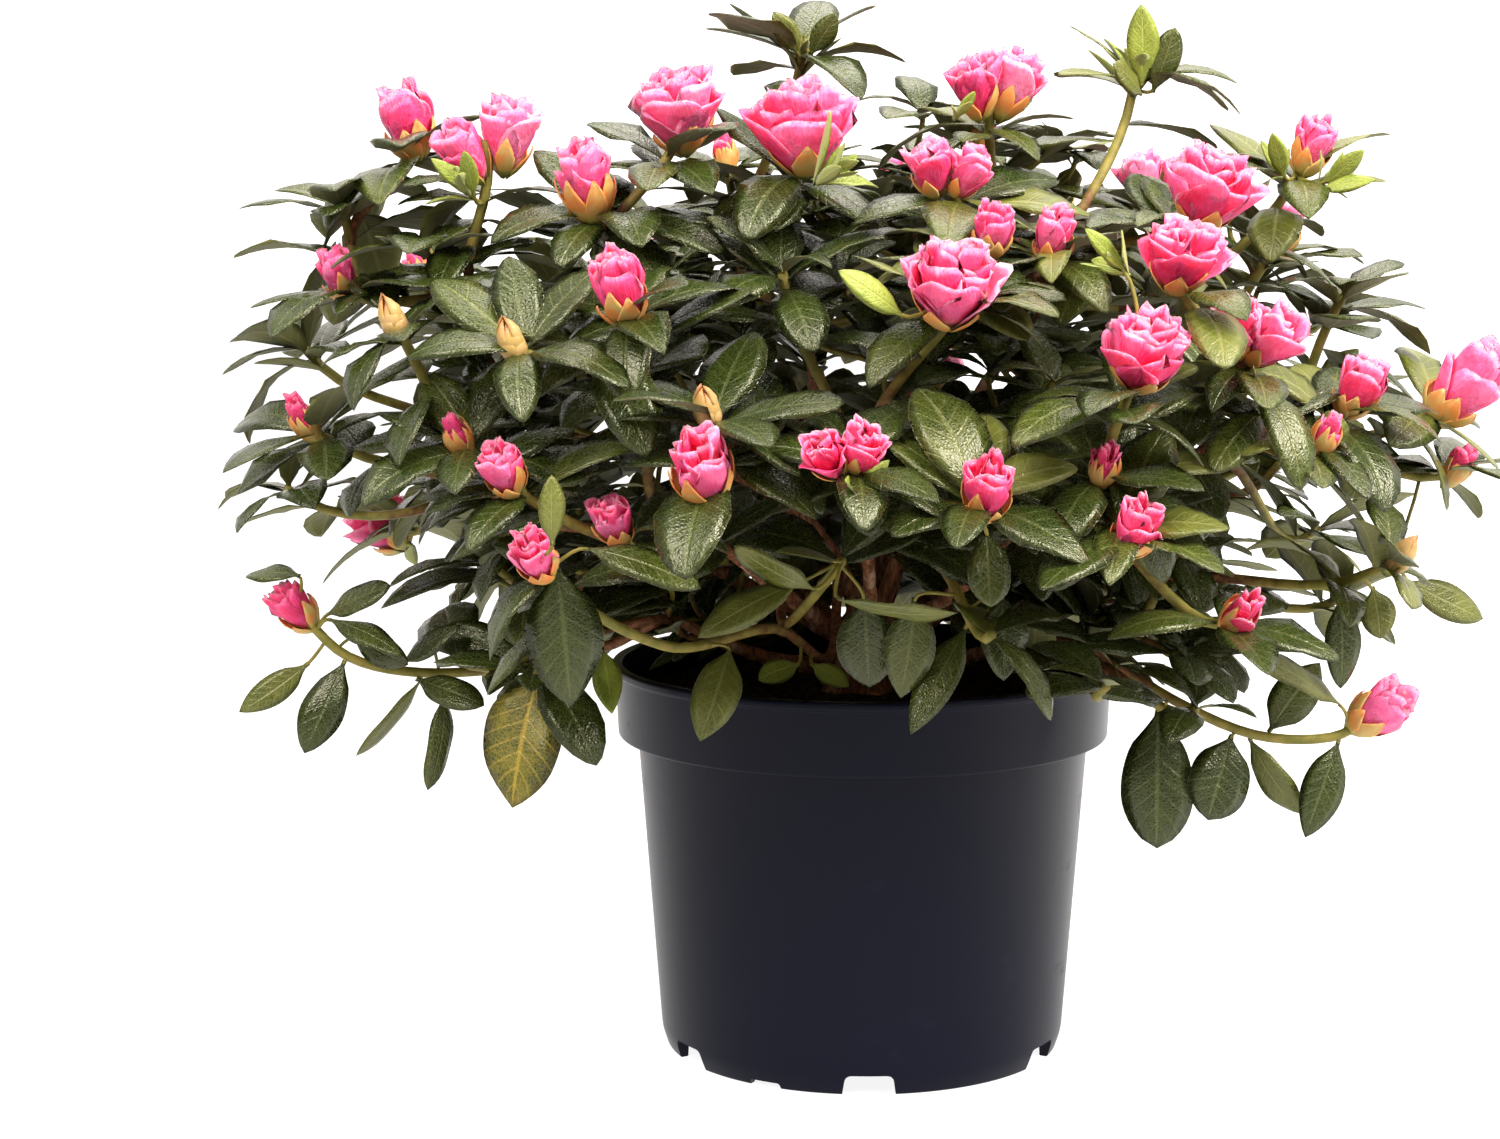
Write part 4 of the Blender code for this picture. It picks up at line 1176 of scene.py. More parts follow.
leaf_sprays = {tone: Spray() for tone in LEAF_TONES}
crowding = []
bloom_spots = [(s["tip"], s["axis"], ENDS[s["end"]] / 2 * s.get("size", 1)) for s in shoots if ENDS[s["end"]]]
bloom_spots += [(s["tip"], s["axis"], CLOSED_BUD_RADIUS) for s in shoots if s["end"] == "green"]
# The two outer arching twigs bear only their shown leaves, and the two over the rim are kept in sight.
trailing, over_the_rim = list(ARCHING)[:2], list(ARCHING)[2:]
for shoot in shoots:
    if any(is_at(shoot, tip) for tip in over_the_rim):
        bloom_spots += [(place, UP, ARCH_CLEARANCE) for place in shoot["path"][4:-3:2]]


def put_leaf(spray, root, frame_axes, length, width, rng, fold=0.22, arch=None, stations=LEAF_STATIONS):
    """Lays one leaf into a spray, unless it would pass through the pot."""
    arch = rng.uniform(*LEAF_ARCHES) if arch is None else arch
    fold, twist, sway = fold * rng.uniform(0.4, 1.5), rng.uniform(-0.35, 0.35), rng.uniform(-0.07, 0.07)
    full, ripple = rng.random(), rng.uniform(0, 0.075)
    sheet, along, across = blade(stations, length, width, arch, fold, twist, sway, full, ripple)
    sheet = np.array(root) + sheet @ frame_axes
    if not clear_of_pot(sheet[1:].reshape(-1, 3), 1 * MM):
        return False
    corners, faces = shell(sheet, LEAF_THICKNESS)
    seat = np.array([rng.uniform(0, 9), rng.uniform(0, 9)])
    uv = np.stack([for_shell(across * width / 2), for_shell(along * length)], axis=1) + seat
    slots = [0] * (len(faces) // 2) + [1] * (len(faces) // 2)
    spray.add(corners, faces, uv, slots, along=for_shell(along), across=for_shell(across))
    return True


def crowded(place):
    return any((place - other).length < LEAF_CLEARANCE for other in crowding)


def before_bloom(place, own):
    """Whether a place is in a bloom or before its face, which looks up and, in front, forward.
    Leaves may come closer before their own bloom."""
    for middle, axis, radius in bloom_spots:
        way = place - middle
        rise = way.dot(axis)
        aside = (way - axis * rise).length
        if -BLOOM_UNDER * radius < rise < BLOOM_TOP + radius and aside < radius * BLOOM_SIDES:
            return True
        forward = FACE_FORWARD if middle.y < 0 else 0
        sight = Vector((middle.x * FACE_SPREAD, middle.y - forward, FACE_UP)).normalized()
        rise = way.dot(sight)
        clear = radius * FACE_SHARE + (0 if middle == own else FACE_MARGIN)
        if 0 < rise < BLOOM_FACE and (way - sight * rise).length < clear:
            return True
    return False


def random_tone_with_painted_light(shoot, rng):
    """Deals out a leaf's tone at random, then adds painted light high up and on the right,
    and painted shade inside the crown and left of the middle.
    """
    tip = shoot["tip"]
    # Painted light lightens leaves high up, more so on the right; painted shade darkens fine shoots deep in
    # the crown.
    high = (0.27 if tip.x > 60 * MM else 0.15) if tip.z > PAINTED_LIGHT_FROM else 0
    light = rng.random() + high - (1.1 - shoot["fine"] if "fine" in shoot else 0)
    # Painted light on the right, painted shade left of the middle and a little less at the far left.
    light += 0.09 if tip.x > 20 * MM else -0.6 if tip.x > -110 * MM else -0.38
    if light > SOFT_FROM:
        return "soft"
    if light > MID_FROM:
        return "mid"
    return "inner" if "fine" in shoot else "deep"


def place_along(path, share):
    """The place that lies a share of the way along a path."""
    k = share * (len(path) - 1)
    return path[int(k)].lerp(path[min(int(k) + 1, len(path) - 1)], k % 1)


def dress(shoot, rng):
    """The whorl of leaves under a shoot's tip, and a few more down its twig."""
    width = ENDS[shoot["end"]] * shoot.get("size", 1)
    fine = "fine" in shoot
    sparse = shoot["tip"].z < SPARSE_TOP and shoot["tip"].y < SPARSE_FRONT
    sway = Vector(rng.uniform(-0.2, 0.2) for _ in range(3))
    axis = (shoot["axis"] * 0.7 + UP * (1.2 if sparse else 0.45) + sway).normalized()
    count = rng.choice(SMALL_WHORL if fine or sparse else WHORL)
    turn = rng.uniform(0, math.tau)
    length_of_twig = sum((b - a).length for a, b in zip(shoot["path"], shoot["path"][1:]))
    for i in range(count + (0 if fine or sparse else LEAVES_BELOW)):
        low = max(0, i - count + 1)
        down = (width * 0.36 + 0.5 * MM if width else 0) + i * LEAF_STEP + low * LOW_LEAF_STEP
        if down > length_of_twig * 0.8:
            break
        root = place_along(shoot["path"], 1 - down / length_of_twig)
        scale = rng.uniform(*LEAF_SCALES) * (0.92 if fine else 1)
        if not width and i < 2:
            scale *= 0.7
        wider = (8 if width > 30 * MM else 0) + (18 if sparse else 0)
        spread = math.radians(rng.uniform(*LEAF_SPREADS) + 5 * low + wider)
        if not width and i < 3:
            spread *= 0.75
        for tilt in LEAF_TILTS:
            axes = leaf_frame(axis, turn + i * GOLDEN_ANGLE + tilt, spread, LEAF_LEAN)
            middle = root + Vector(axes[0]) * LEAF_LENGTH * scale * 0.6
            far = root.lerp(middle, 1.6)
            checked = (middle, far) if width else (middle, middle.lerp(far, 0.5), far)
            if not crowded(middle) and not any(before_bloom(place, shoot["tip"]) for place in checked):
                break
        else:
            continue
        tone = random_tone_with_painted_light(shoot, rng)
        length = LEAF_LENGTH * scale
        width_of_leaf = length * LEAF_SLENDERNESS * rng.uniform(0.86, 1.14)
        if put_leaf(leaf_sprays[tone], root, axes, length, width_of_leaf, rng):
            crowding.append(middle)


def show_leaf(spray, root, tip, width, face, rng):
    """One leaf from a place to a place, in millimetres, on a thin stalk from the nearest twig."""
    root, way = Vector(root) * MM, (Vector(tip) - Vector(root)) * MM
    along = way.normalized()
    across = Vector(face).cross(along).normalized()
    axes = np.array([along, across, along.cross(across)])
    sizes = (way.length * 1.04, width * MM)
    if not put_leaf(spray, root, axes, *sizes, rng, SHOWN_FOLD, SHOWN_ARCH, SHOWN_STATIONS):
        return
    crowding.extend((root + way * 0.3, root + way * 0.65))
    bloom_spots.append((root + way * 0.55, UP, 14 * MM))
    wood = (place for shoot in shoots for place in shoot["path"][1:])
    place = min(wood, key=lambda place: (place - root).length)
    if (place - root).length > 2 * MM:
        stalk = cubic(place, (root - place).normalized(), root + along * 1.5 * MM, along, 0.3, 6)
        add_tube(stalks, stalk, [STALK_RADIUS] * 6, (0.8, 1.0), 6)


SHOWN_STATIONS = np.linspace(0, 1, 17)
SHOWN_ARCH = 0.35
SHOWN_FOLD = 0.16

# Leaves that show singly on the front: where each starts, its tip, width, tone and the way its face looks.
SHOWN_LEAVES = (
    ((-204, -70, 191), (-224, -62, 190), 12, "mid", (0.1, -0.7, 0.9)),
    ((-195, -72, 177), (-171, -80, 187), 13, "mid", (0.0, -0.8, 0.8)),
    ((-194, -74, 176), (-165, -92, 166), 12, "mid", (0.3, -0.7, 0.8)),
    ((-187, -64, 168), (-168, -64, 157), 11, "deep", (0.1, -1, 0.2)),
    ((-189, -68, 160), (-201, -76, 128), 16, "deep", (-0.2, -1, 0.2)),
    ((-203, -62, 158), (-226, -66, 140), 11, "soft", (0.2, -1, 0.1)),
    ((-163, -54, 151), (-187, -60, 125), 12, "soft", (0.7, -0.5, -0.5)),
    ((-155, -52, 147), (-160, -56, 111), 12, "mid", (0.85, -0.6, 0.1)),
    ((-165, -56, 151), (-140, -70, 143), 13, "mid", (0.1, -1, 0.5)),
    ((-170, -58, 157), (-148, -62, 170), 11, "deep", (0.1, -0.8, 0.9)),
    ((-159, -48, 169), (-128, -56, 159), 16, "deep", (0.1, -1, 0.3)),
    ((-117, -97, 161), (-129, -104, 116), 30, "turning", (-0.1, -1, 0.15)),
    ((-106, -160, 207), (-102, -158, 161), 26, "deep", (0.05, -1, 0.15)),
    ((-97, -60, 163), (-91, -78, 143), 11, "young", (0.0, -1, 0.2)),
    ((-50, -96, 169), (-59, -116, 140), 17, "soft", (0.1, -1, 0.3)),
    ((-97, -165, 213), (-60, -174, 201), 15, "mid", (0.1, -0.7, 0.9)),
    ((-21, -130, 194), (-47, -142, 211), 14, "soft", (-0.5, -0.9, -0.3)),
    ((-14, -130, 191), (25, -150, 189), 13, "soft", (-0.2, -0.55, -0.8)),
    ((-14, -132, 204), (-34, -150, 209), 12, "soft", (0.0, -0.5, 1)),
    ((-26, -126, 196), (-60, -150, 182), 13, "soft", (0.2, -0.7, 0.7)),
    ((-4, -116, 190), (-3, -114, 159), 21, "deep", (0.0, -1, 0.1)),
    ((13, -119, 190), (10, -118, 156), 18, "mid", (0.2, -1, 0.2)),
    ((32, -106, 178), (13, -124, 144), 14, "mid", (-0.3, -1, 0.2)),
    ((34, -164, 218), (34, -172, 195), 15, "mid", (0.0, -0.8, 0.6)),
    ((42, -120, 192), (45, -124, 163), 17, "deep", (0.2, -1, 0.25)),
    ((105, -62, 141), (103, -68, 92), 27, "deep", (0.05, -1, 0.1)),
    ((132, -62, 131), (122, -68, 102), 24, "deep", (0.25, -0.9, 0.5)),
    ((139, -58, 129), (157, -58, 101), 13, "soft", (-0.6, -0.7, 0.1)),
    ((171, -62, 129), (157, -68, 96), 16, "deep", (0.2, -1, 0.2)),
    ((146, -58, 131), (163, -54, 156), 17, "mid", (-0.1, -1, 0.1)),
    ((171, -66, 142), (134, -80, 163), 13, "soft", (0.0, -0.6, 0.8)),
    ((108, -66, 144), (69, -98, 155), 17, "deep", (0.0, -0.7, 0.75)),
    ((168, -70, 183), (171, -72, 151), 14, "deep", (0.1, -1, 0.1)),
    ((196, -50, 186), (225, -42, 169), 14, "soft", (-0.1, -1, 0.3)),
    ((182, -60, 185), (186, -62, 167), 13, "soft", (0.1, -1, 0.1)),
    ((-106, -182, 216), (-107, -184, 238), 9, "soft", (0.2, -1, 0.1)),
    ((6, -176, 288), (-15, -186, 302), 10, "young", (0.3, -1, 0.5)),
    ((152, -128, 236), (150, -132, 254), 13, "soft", (0.1, -1, 0.2)),
    ((98, -42, 364), (98, -48, 392), 12, "young", (0.1, -1, 0.1)),
    ((-25, -36, 376), (-33, -42, 391), 9, "soft", (-0.1, -1, 0.1)),
    ((-21, -36, 376), (-12, -42, 390), 9, "mid", (0.3, -1, 0.1)),
    ((-25, -60, 157), (-40, -68, 153), 10, "young", (0.0, -0.8, 0.6)),
    ((-21, -60, 157), (-8, -68, 150), 9, "young", (0.0, -0.8, 0.6)),
    ((102, -42, 362), (109, -46, 384), 11, "mid", (0.2, -1, 0.1)),
    ((98, -44, 361), (86, -56, 372), 13, "soft", (0.0, -0.8, 0.6)),
    ((146, -64, 332), (141, -72, 347), 7, "young", (-0.2, -1, 0.2)),
    ((161, -64, 330), (172, -72, 341), 7, "young", (0.3, -1, 0.3)),
    ((158, -66, 327), (176, -74, 331), 7, "young", (0.2, -1, 0.6)),
    ((77, -168, 302), (63, -176, 315), 6, "young", (-0.1, -1, 0.5)),
    ((-139, -100, 327), (-150, -108, 339), 6, "young", (0.0, -1, 0.4)),
    ((-137, -101, 326), (-138, -110, 341), 6, "young", (0.0, -1, 0.4)),
)

young_leaf = leaf_finish("leaf_young", (0.13, 0.18, 0.016), (0.235, 0.29, 0.032), (0.34, 0.38, 0.08),
                         (0.46, 0.46, 0.16), 0.40)
young = Spray()
stalks = Spray()
for root, tip, width, tone, face in SHOWN_LEAVES:
    show_leaf(young if tone == "young" else leaf_sprays[tone], root, tip, width, face, rng)
for shoot in shoots:
    if not any(is_at(shoot, tip) for tip in trailing):
        dress(shoot, rng)
piece = stalks.object("leaf_stalks", twig_skin)
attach(piece, "root")


# --- New shoots
# Soft light green leaves, narrow and still upright, that push out beside the blooms and at the tips of the
# two tall sprigs, and a few small ones at the foot of the trunk.

SEEDLINGS = 11
TUFT_FOLD = 0.5

young_under = underside_finish("leaf_young_underside", (0.30, 0.33, 0.09), (0.38, 0.40, 0.15))


def put_tuft(spray, root, axis, count, length, rng):
    """A tuft of young leaves, the inner ones upright."""
    turn = rng.uniform(0, math.tau)
    for i in range(count):
        spread = math.radians(8 + 54 * i / count)
        axes = leaf_frame(axis, turn + i * GOLDEN_ANGLE, spread, 0)
        size = length * rng.uniform(0.75, 1.1) * (0.7 + 0.3 * i / count)
        width, arch = size * rng.uniform(0.28, 0.38), rng.uniform(-0.1, 0.6)
        put_leaf(spray, root - axis * i * 0.5 * MM, axes, size, width, rng, TUFT_FOLD, arch)


# Where young tufts push out beside the blooms: the tuft's foot and tip in millimetres, and its leaves.
SPROUTS = (
    ((-139, -98, 327), (-147, -105, 340), 8),
    ((-19, -117, 331), (-1, -124, 343), 8),
    ((77, -167, 302), (64, -173, 314), 6),
    ((147, -60, 332), (139, -66, 345), 5),
    ((160, -60, 330), (171, -67, 340), 6),
    ((-13, -184, 232), (4, -194, 238), 4),
    ((28, -84, 352), (36, -92, 360), 3),
    ((120, -150, 262), (132, -158, 268), 3),
)
for foot, tip, count in SPROUTS:
    way = (Vector(tip) - Vector(foot)) * MM
    put_tuft(young, Vector(foot) * MM, way.normalized(), count, way.length * 1.1, rng)
for shoot in shoots:
    if shoot["end"] == "sprig":
        outer, size = (young, 30) if shoot["tip"].x > 0 else (leaf_sprays["soft"], 21)
        put_tuft(outer, shoot["tip"] - shoot["axis"] * 11 * MM, shoot["axis"], 8, size * MM, rng)
        put_tuft(young, shoot["tip"] - shoot["axis"] * 6 * MM, shoot["axis"], 4, size * 0.57 * MM, rng)
    if shoot["tip"].y > 0 and shoot["end"] in ("open", "opening") and rng.random() < 0.5:
        side = shoot["axis"].cross(Vector((1, 0, 0))).normalized()
        foot = shoot["tip"] - shoot["axis"] * 14 * MM
        put_tuft(young, foot, (side + shoot["axis"]).normalized(), 6, 20 * MM, rng)
for i in range(SEEDLINGS):
    bearing = i * GOLDEN_ANGLE + 4
    out = Vector((math.cos(bearing), math.sin(bearing), 0))
    root = out * (26 + 9 * (i % 4)) * MM + UP * (SOIL_TOP + 1 * MM)
    put_tuft(young, root, (UP + out * 0.5).normalized(), 5, 15 * MM, rng)
for tone, spray in leaf_sprays.items():
    piece = spray.object("leaves_" + tone, LEAF_TONES[tone], leaf_under)
    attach(piece, "root")
    if tone == "mid":
        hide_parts(*("foliage_" + name for name in MASSES))
piece = young.object("leaves_young", young_leaf, young_under)
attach(piece, "root")


# --- Blooms
# Double blooms, half open, of thin ruffled petals in rings, hot pink in their hearts, partly as painted
# shade, and paler at the edges, where a painted highlight lightens the rims. Each is held at its foot by tan
# and orange bud scales. Some are twins, and many are still half bloom or bud.

PETAL_STATIONS = np.array((0, 0.28, 0.54, 0.75, 0.9, 1))
PETAL_ACROSS = np.linspace(-1, 1, 11)
PETAL_THICKNESS = 0.3 * MM
SCALE_THICKNESS = 0.35 * MM

# Each ring: petals, reach, height, half width, flare at the rim and ruffle, in millimetres of a 42 mm bloom.
OPEN_RINGS = (
    (4, 15.0, 25.5, 18.0, 2.6, 2.4),
    (4, 13.2, 30, 16.5, 1.2, 3.0),
    (4, 10.6, 32.5, 14.0, 0.8, 3.4),
    (4, 7.6, 33.5, 11.0, 0.4, 3.4),
    (3, 4.2, 33.5, 8.0, 0.0, 2.8),
)
TWIN_RINGS = (
    (3, 10.8, 26, 15.0, 2.2, 2.2),
    (3, 9.2, 31, 13.5, 1.0, 2.8),
    (3, 6.4, 33, 10.5, 0.5, 3.0),
    (2, 3.2, 33, 7.0, 0.0, 2.4),
)
HALF_RINGS = (
    (3, 9.6, 28, 13.0, -0.7, 1.8),
    (3, 8.0, 32, 12.0, -0.6, 2.4),
    (3, 5.4, 34, 9.0, 0.0, 2.6),
    (2, 2.8, 34.5, 6.0, 0.0, 2.2),
)
BUD_RINGS = (
    (3, 6.4, 23, 8.0, -3.6, 0.5),
    (3, 4.4, 28, 6.5, -2.4, 1.0),
    (3, 2.0, 29.5, 4.0, -0.6, 1.0),
)

# The scales at a bloom's foot: reach, height, how many, flare, and the shortest one's share of the height.
SCALES = {
    "twin": (10.3, 21, 4, 0.0, 0.6),
    "open": (12.6, 18, 5, 0.0, 0.6),
    "half": (11.6, 24.5, 7, -0.8, 0.5),
    "bud": (7.8, 25, 9, -3, 0.8),
}

# How large each kind of bloom is made from its rings, and how far its foot is under the shoot's tip, in mm.
OPEN_SIZES = (0.78, 0.86)
TWIN_SIZES = (0.78, 0.98)
HALF_SIZES = (0.64, 0.74)
LEAST_TWIN = 0.72
BUD_SIZE = 0.66
OPEN_DEPTH, HALF_DEPTH, BUD_DEPTH = 17, 15, 10
TWIN_LEANS = (0.25, 0.5)
TWIN_APART = 4


def petal(turn, reach, height, half_width, flare, ruffle, rng, point=0.0):
    """The middle sheet of a petal that stands on a bloom's foot at the origin and overlaps the next one."""
    v, u = PETAL_STATIONS[:, None], PETAL_ACROSS[None, :]
    half = half_width * (0.2 + 0.8 * np.sin(np.pi / 2 * np.clip(v / 0.74, 0, 1)) ** 0.9)
    half = half * (1 - 0.16 * (1 - point) * np.clip((v - 0.72) / 0.28, 0, 1) ** 2)
    half = half * (1 - point * np.clip((v - 0.35) / 0.65, 0, 1) ** 1.3)
    waves = rng.uniform(1.2, 2.1)
    skew = rng.uniform(-0.16, 0.16) * reach
    phase, other_phase = rng.uniform(0, math.tau), rng.uniform(0, math.tau)
    edge = v**2.5 * (0.6 + 0.4 * np.abs(u))
    out = 1.4 + reach * np.sin(np.pi / 2 * v**1.05)
    out = out + flare * np.clip((v - 0.55) / 0.45, 0, 1) ** 2 * (1 - (0.6 if flare > 0 else 0) * u * u)
    out = out + ruffle * edge * np.sin(waves * np.pi * u + phase) + skew * (1 - point) * u * v**1.5
    out = out + 0.28 * ruffle * edge * (1 - point) * np.sin(1.8 * waves * np.pi * u + other_phase)
    up = height * v**1.15 * (1 - 0.2 * (1 - point) * np.abs(u) ** 3.2 * v)
    up = up + 0.4 * ruffle * edge * np.sin(1.2 * waves * np.pi * u + other_phase)
    bearing = turn + half * u / np.maximum(out, 0.5 * reach + 1.2)
    sheet = np.stack([out * np.cos(bearing), out * np.sin(bearing), up], axis=-1)
    return sheet, np.broadcast_to(v, bearing.shape), np.broadcast_to(u, bearing.shape)


def petal_finish(name, heart, body, edge, foot):
    """A petal: its foot has a colour of its own, streaks run up it, and its ruffled edge has a painted
    highlight.
    """
    finish = Finish(name, roughness=0.5, specular_ior_level=0.25, subsurface_weight=0.5,
                    subsurface_radius=(1.0, 0.75, 0.7), subsurface_scale=2 * MM)
    along, across = finish.attribute("along"), abs(finish.attribute("across"))
    streaks = finish.noise(finish.lie(), 60, 3)
    clouds = finish.noise(finish.place(), 150, 3)
    crumple = finish.noise(finish.place(), 340, 3, 0.6)
    sides = finish.band(across, 0.82, 1.0) * finish.band(along, 0.3, 0.6)
    rim = (finish.band(along, 0.78, 1.0) + sides).clamped()
    pink = finish.mix(finish.band(clouds, 0.32, 0.68), heart, body)
    # Painted highlight: patches along the rim turn towards the pale edge colour, as lit rims.
    painted_rim_highlight = rim * finish.band(crumple, 0.4, 0.66) * 0.55
    pink = finish.mix((painted_rim_highlight + finish.band(streaks, 0.52, 0.75) * 0.4).clamped(), pink, edge)
    finish.feed("Base Color", finish.mix(1 - finish.band(along, 0.06, 0.42), pink, foot))
    finish.feed("Normal", finish.bump(streaks + crumple, 0.7, 1.2 * MM))
    return finish


def scale_finish():
    """Papery bud scales, tan to orange with browner tips."""
    finish = Finish("bud_scale", roughness=0.55, specular_ior_level=0.4)
    along = finish.attribute("along")
    clouds = finish.noise(finish.place(), 160, 3)
    tan = finish.mix(finish.band(clouds, 0.35, 0.65), (0.54, 0.35, 0.11), (0.66, 0.22, 0.05))
    tan = finish.mix(1 - finish.band(along, 0.1, 0.6), tan, (0.34, 0.32, 0.075))
    finish.feed("Base Color", finish.mix(finish.band(along, 0.8, 1.0) * 0.6, tan, (0.38, 0.15, 0.06)))
    finish.feed("Normal", finish.bump(finish.noise(finish.place(), 600, 3), 0.3, 0.3 * MM))
    return finish


PETALS = {
    "hot": petal_finish("petal_hot", (0.90, 0.026, 0.125), (0.96, 0.062, 0.22), (0.98, 0.17, 0.36),
                        (0.90, 0.17, 0.17)),
    "pink": petal_finish("petal_pink", (0.96, 0.075, 0.235), (0.98, 0.145, 0.335), (0.99, 0.29, 0.49),
                         (0.96, 0.38, 0.33)),
    "pale": petal_finish("petal_pale", (0.97, 0.14, 0.31), (0.98, 0.25, 0.44), (0.99, 0.45, 0.60),
                         (0.98, 0.62, 0.48)),
}
scale_skin = scale_finish()
petal_sprays = {tone: Spray() for tone in PETALS}
scales = Spray()


def stand(sheet, root, axis, size):
    """Places a sheet that was made on +Z, in millimetres, on a shoot."""
    turn = np.array(axis.to_track_quat("Z", "Y").to_matrix())
    return np.array(root) + (sheet * size * MM) @ turn.T


def lay(spray, sheet, along, across, thickness, uv=None):
    """Lays a petal or a scale into a spray."""
    corners, faces = shell(sheet, thickness)
    uv = np.zeros((len(corners), 2)) if uv is None else uv
    spray.add(corners, faces, uv, 0, along=for_shell(along), across=for_shell(across))


def put_bloom(root, axis, rings, size, rng, pale):
    """One bloom's petals, ring by ring, their tones dealt out at random, the inner rings darker as painted
    shade.
    """
    for ring, (count, reach, height, half_width, flare, ruffle) in enumerate(rings):
        start = rng.uniform(0, math.tau)
        for k in range(count):
            turn = start + math.tau * k / count + rng.uniform(-0.3, 0.3)
            own_reach, own_height = reach * rng.uniform(0.86, 1.1), height * rng.uniform(0.86, 1.06)
            own_half, own_flare = half_width * rng.uniform(0.85, 1.1), flare * rng.uniform(-0.4, 2.2)
            sheet, along, across = petal(turn, own_reach, own_height, own_half, own_flare, ruffle, rng)
            # The random tone leans darker ring by ring inwards: painted shade deep in the bloom.
            pale_chance_with_painted_shade = rng.random() + pale - 0.1 * ring
            tone = "pale" if pale_chance_with_painted_shade > 0.9 else "pink" if pale_chance_with_painted_shade > 0.35 else "hot"
            uv = np.stack([for_shell(across * 0.25), for_shell(along * 0.06)], axis=1) + rng.uniform(0, 9)
            lay(petal_sprays[tone], stand(sheet, root, axis, size), along, across, PETAL_THICKNESS, uv)


def put_scales(root, axis, kind, size, rng):
    """The pointed scales that hold a bloom's foot, from just below it."""
    reach, height, count, flare, least = SCALES[kind]
    root = root - axis * 1 * MM
    start = rng.uniform(0, math.tau)
    for k in range(count):
        turn = start + k * GOLDEN_ANGLE
        grow = rng.uniform(least, 1.0)
        out = reach * grow**0.3
        sheet, along, across = petal(turn, out, height * grow, reach * 0.6, flare, 0.25, rng, 0.9)
        lay(scales, stand(sheet, root, axis, size), along, across, SCALE_THICKNESS)


def put_flower(shoot, rng):
    """What a flowering shoot ends in: a twin, an open bloom, a half bloom or a bud, with its scales."""
    end, tip = shoot["end"], shoot["tip"]
    axis = (shoot["axis"] + UP * 0.35).normalized()
    grown = shoot.get("size", 1)
    size = ENDS[end] / ENDS["open"] * rng.uniform(*OPEN_SIZES) * grown
    root = tip - axis * OPEN_DEPTH * MM * size
    if end == "opening" or (end == "open" and tip.y > 0 and rng.random() < 0.3):
        size = max(size, LEAST_TWIN * grown)
        side = Matrix.Rotation(rng.uniform(-0.6, 0.6), 3, axis) @ axis.cross(Vector((0, 1, 0))).normalized()
        for sign in (-1, 1):
            lean = (axis + side * sign * rng.uniform(*TWIN_LEANS)).normalized()
            foot, bulk = root + side * sign * TWIN_APART * MM * size, size * rng.uniform(*TWIN_SIZES)
            put_bloom(foot, lean, TWIN_RINGS, bulk, rng, rng.uniform(-0.1, 0.45))
            put_scales(foot, lean, "twin", bulk, rng)
    elif end == "open":
        put_bloom(root, axis, OPEN_RINGS, size, rng, rng.uniform(-0.15, 0.3))
        put_scales(root, axis, "open", size, rng)
    elif end == "half":
        size = rng.uniform(*HALF_SIZES) * grown
        root = tip - axis * HALF_DEPTH * MM * size
        put_bloom(root, axis, HALF_RINGS, size, rng, rng.uniform(-0.4, 0.15))
        put_scales(root, axis, "half", size, rng)
    elif end == "bud":
        root = tip - axis * BUD_DEPTH * MM
        put_bloom(root, axis, BUD_RINGS, BUD_SIZE * grown, rng, -0.5)
        put_scales(root, axis, "bud", BUD_SIZE * grown, rng)


for shoot in shoots:
    if shoot["end"] in ("open", "opening", "half", "bud"):
        put_flower(shoot, rng)
for tone, spray in petal_sprays.items():
    piece = spray.object("petals_" + tone, PETALS[tone])
    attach(piece, "root")
piece = scales.object("bud_scales", scale_skin)
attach(piece, "root")


# --- Closed buds
# Late blooms wait in closed buds: plump pointed ovals of close overlapping scales, tan with browner tips and
# green at the foot, whose points meet over the bud.

CLOSED_HEIGHT = 19
CLOSED_REACH = 4.4
CLOSED_HALF_WIDTH = 5.2
CLOSED_SCALES = 10
CLOSED_DEPTH = 9
CLOSED_THICKNESS = 0.4 * MM

closed_skin = Finish("closed_bud", roughness=0.5, specular_ior_level=0.4)
along = closed_skin.attribute("along")
clouds = closed_skin.noise(closed_skin.place(), 220, 3)
skin = closed_skin.mix(closed_skin.band(clouds, 0.35, 0.65), (0.42, 0.28, 0.080), (0.55, 0.34, 0.14))
skin = closed_skin.mix(1 - closed_skin.band(along, 0.1, 0.55), skin, (0.20, 0.21, 0.035))
skin = closed_skin.mix(closed_skin.band(along, 0.75, 1.0) * 0.8, skin, (0.45, 0.17, 0.06))
closed_skin.feed("Base Color", skin)
closed_skin.feed("Normal", closed_skin.bump(closed_skin.noise(closed_skin.place(), 700, 3), 0.3, 0.3 * MM))
closed = Spray()
for shoot in shoots:
    if shoot["end"] != "green":
        continue
    axis = (shoot["axis"] + UP * 0.35).normalized()
    root = shoot["tip"] - axis * CLOSED_DEPTH * MM
    for k in range(CLOSED_SCALES):
        grow = 0.62 + 0.38 * k / (CLOSED_SCALES - 1)
        reach, height, turn = CLOSED_REACH * (1.3 - grow * 0.5), CLOSED_HEIGHT * grow, k * GOLDEN_ANGLE
        to_axis = -1.15 - reach
        sheet, along, across = petal(turn, reach, height, CLOSED_HALF_WIDTH, to_axis, 0.1, rng, 0.6)
        lay(closed, stand(sheet, root, axis, 1.0), along, across, CLOSED_THICKNESS)
piece = closed.object("closed_buds", closed_skin)
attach(piece, "root")


# --- Floor, light and camera
# A plain pale floor that glows faintly behind the shrub, a pale sky, soft light from both sides and above,
# and a camera a little above the pot.

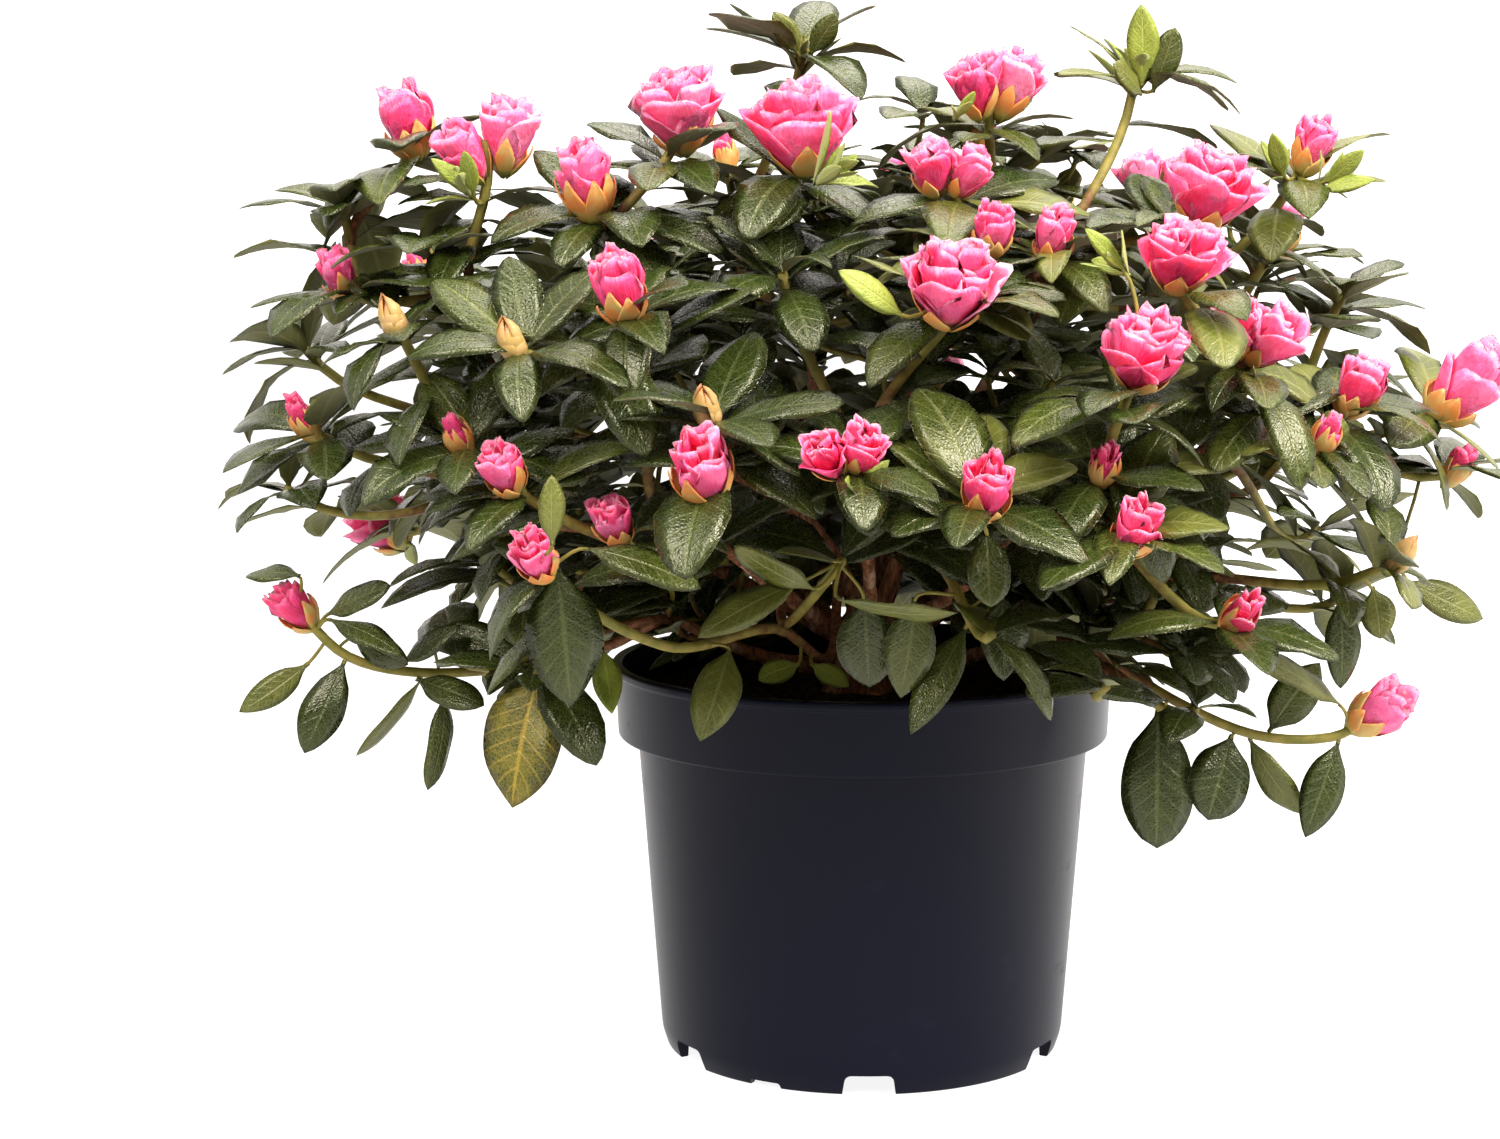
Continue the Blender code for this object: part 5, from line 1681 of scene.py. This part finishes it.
FLOOR_REACH = 6
GLOW_STARTS, GLOW_FULL = -0.7, -0.13
LIGHT_COLOUR = (1, 0.955, 0.89)
LIT_POINT = Vector((0, 0, 0.22))
BRIGHT_SIDE = (0.28, 0.96, 0)
SKY_FADE = {"From Min": -0.4, "From Max": 0.8, "To Min": 0.25, "To Max": 1.7}
SENSOR_WIDTH, FOCAL_LENGTH = 36, 69.68
CAMERA_PLACE = (-0.0428, -1.1, 0.332)
CAMERA_DIP, CAMERA_ROLL = 0.1342, 0.0019

floor_finish = Finish("floor", roughness=0.9, specular_ior_level=0.1, emission_strength=0.9)
floor_finish.shader.inputs["Base Color"].default_value = (0.22, 0.215, 0.21, 1)
depth = floor_finish.node("ShaderNodeSeparateXYZ", {}, {0: floor_finish.place()}, "Y")
side = floor_finish.node("ShaderNodeSeparateXYZ", {}, {0: floor_finish.place()}, "X")
glow = floor_finish.mix(floor_finish.band(side, 0.1, 0.4), (1, 1, 1), (1.6, 1.6, 1.6))
glow = floor_finish.mix(floor_finish.band(depth, GLOW_STARTS, GLOW_FULL), (0.4, 0.4, 0.4), glow)
floor_finish.feed("Emission Color", glow)
floor_mesh = bpy.data.meshes.new("floor")
floor_corners = [(x * FLOOR_REACH, y * FLOOR_REACH, 0) for x, y in ((-1, -1), (1, -1), (1, 1), (-1, 1))]
floor_mesh.from_pydata(floor_corners, [], [(0, 1, 2, 3)])
floor = new_object("floor", floor_mesh, floor_finish)

world = bpy.data.worlds.new("studio")
bpy.context.scene.world = world
world.use_nodes = True
sky = world.node_tree
where = sky.nodes.new("ShaderNodeTexCoord")
towards = sky.nodes.new("ShaderNodeVectorMath")
towards.operation = "DOT_PRODUCT"
towards.inputs[1].default_value = BRIGHT_SIDE
fade = sky.nodes.new("ShaderNodeMapRange")
for socket, value in SKY_FADE.items():
    fade.inputs[socket].default_value = value
sky.links.new(where.outputs["Generated"], towards.inputs[0])
sky.links.new(towards.outputs["Value"], fade.inputs["Value"])
sky.nodes["Background"].inputs["Color"].default_value = (1, 0.95, 0.925, 1)
sky.links.new(fade.outputs[0], sky.nodes["Background"].inputs["Strength"])


def softbox(name, place, size, watts):
    """A square area light that faces the middle of the shrub."""
    light = bpy.data.lights.new(name, "AREA")
    light.size, light.energy, light.color = size, watts, LIGHT_COLOUR
    obj = bpy.data.objects.new(name, light)
    obj.location = place
    obj.rotation_euler = (LIT_POINT - Vector(place)).to_track_quat("-Z", "Y").to_euler()
    bpy.context.scene.collection.objects.link(obj)


softbox("left_box", (-0.9, -1.2, 1.7), 1.3, 66)
softbox("right_box", (1.15, -0.85, 1.6), 1.2, 98)
softbox("back_box", (0.1, 0.9, 1.9), 1.2, 24)

lens = bpy.data.cameras.new("camera")
lens.sensor_width, lens.lens = SENSOR_WIDTH, FOCAL_LENGTH
camera = bpy.data.objects.new("camera", lens)
camera.location = CAMERA_PLACE
camera.rotation_euler = (math.pi / 2 - CAMERA_DIP, CAMERA_ROLL, 0)
bpy.context.scene.collection.objects.link(camera)
bpy.context.scene.camera = camera
bpy.context.scene.view_settings.view_transform = "Standard"
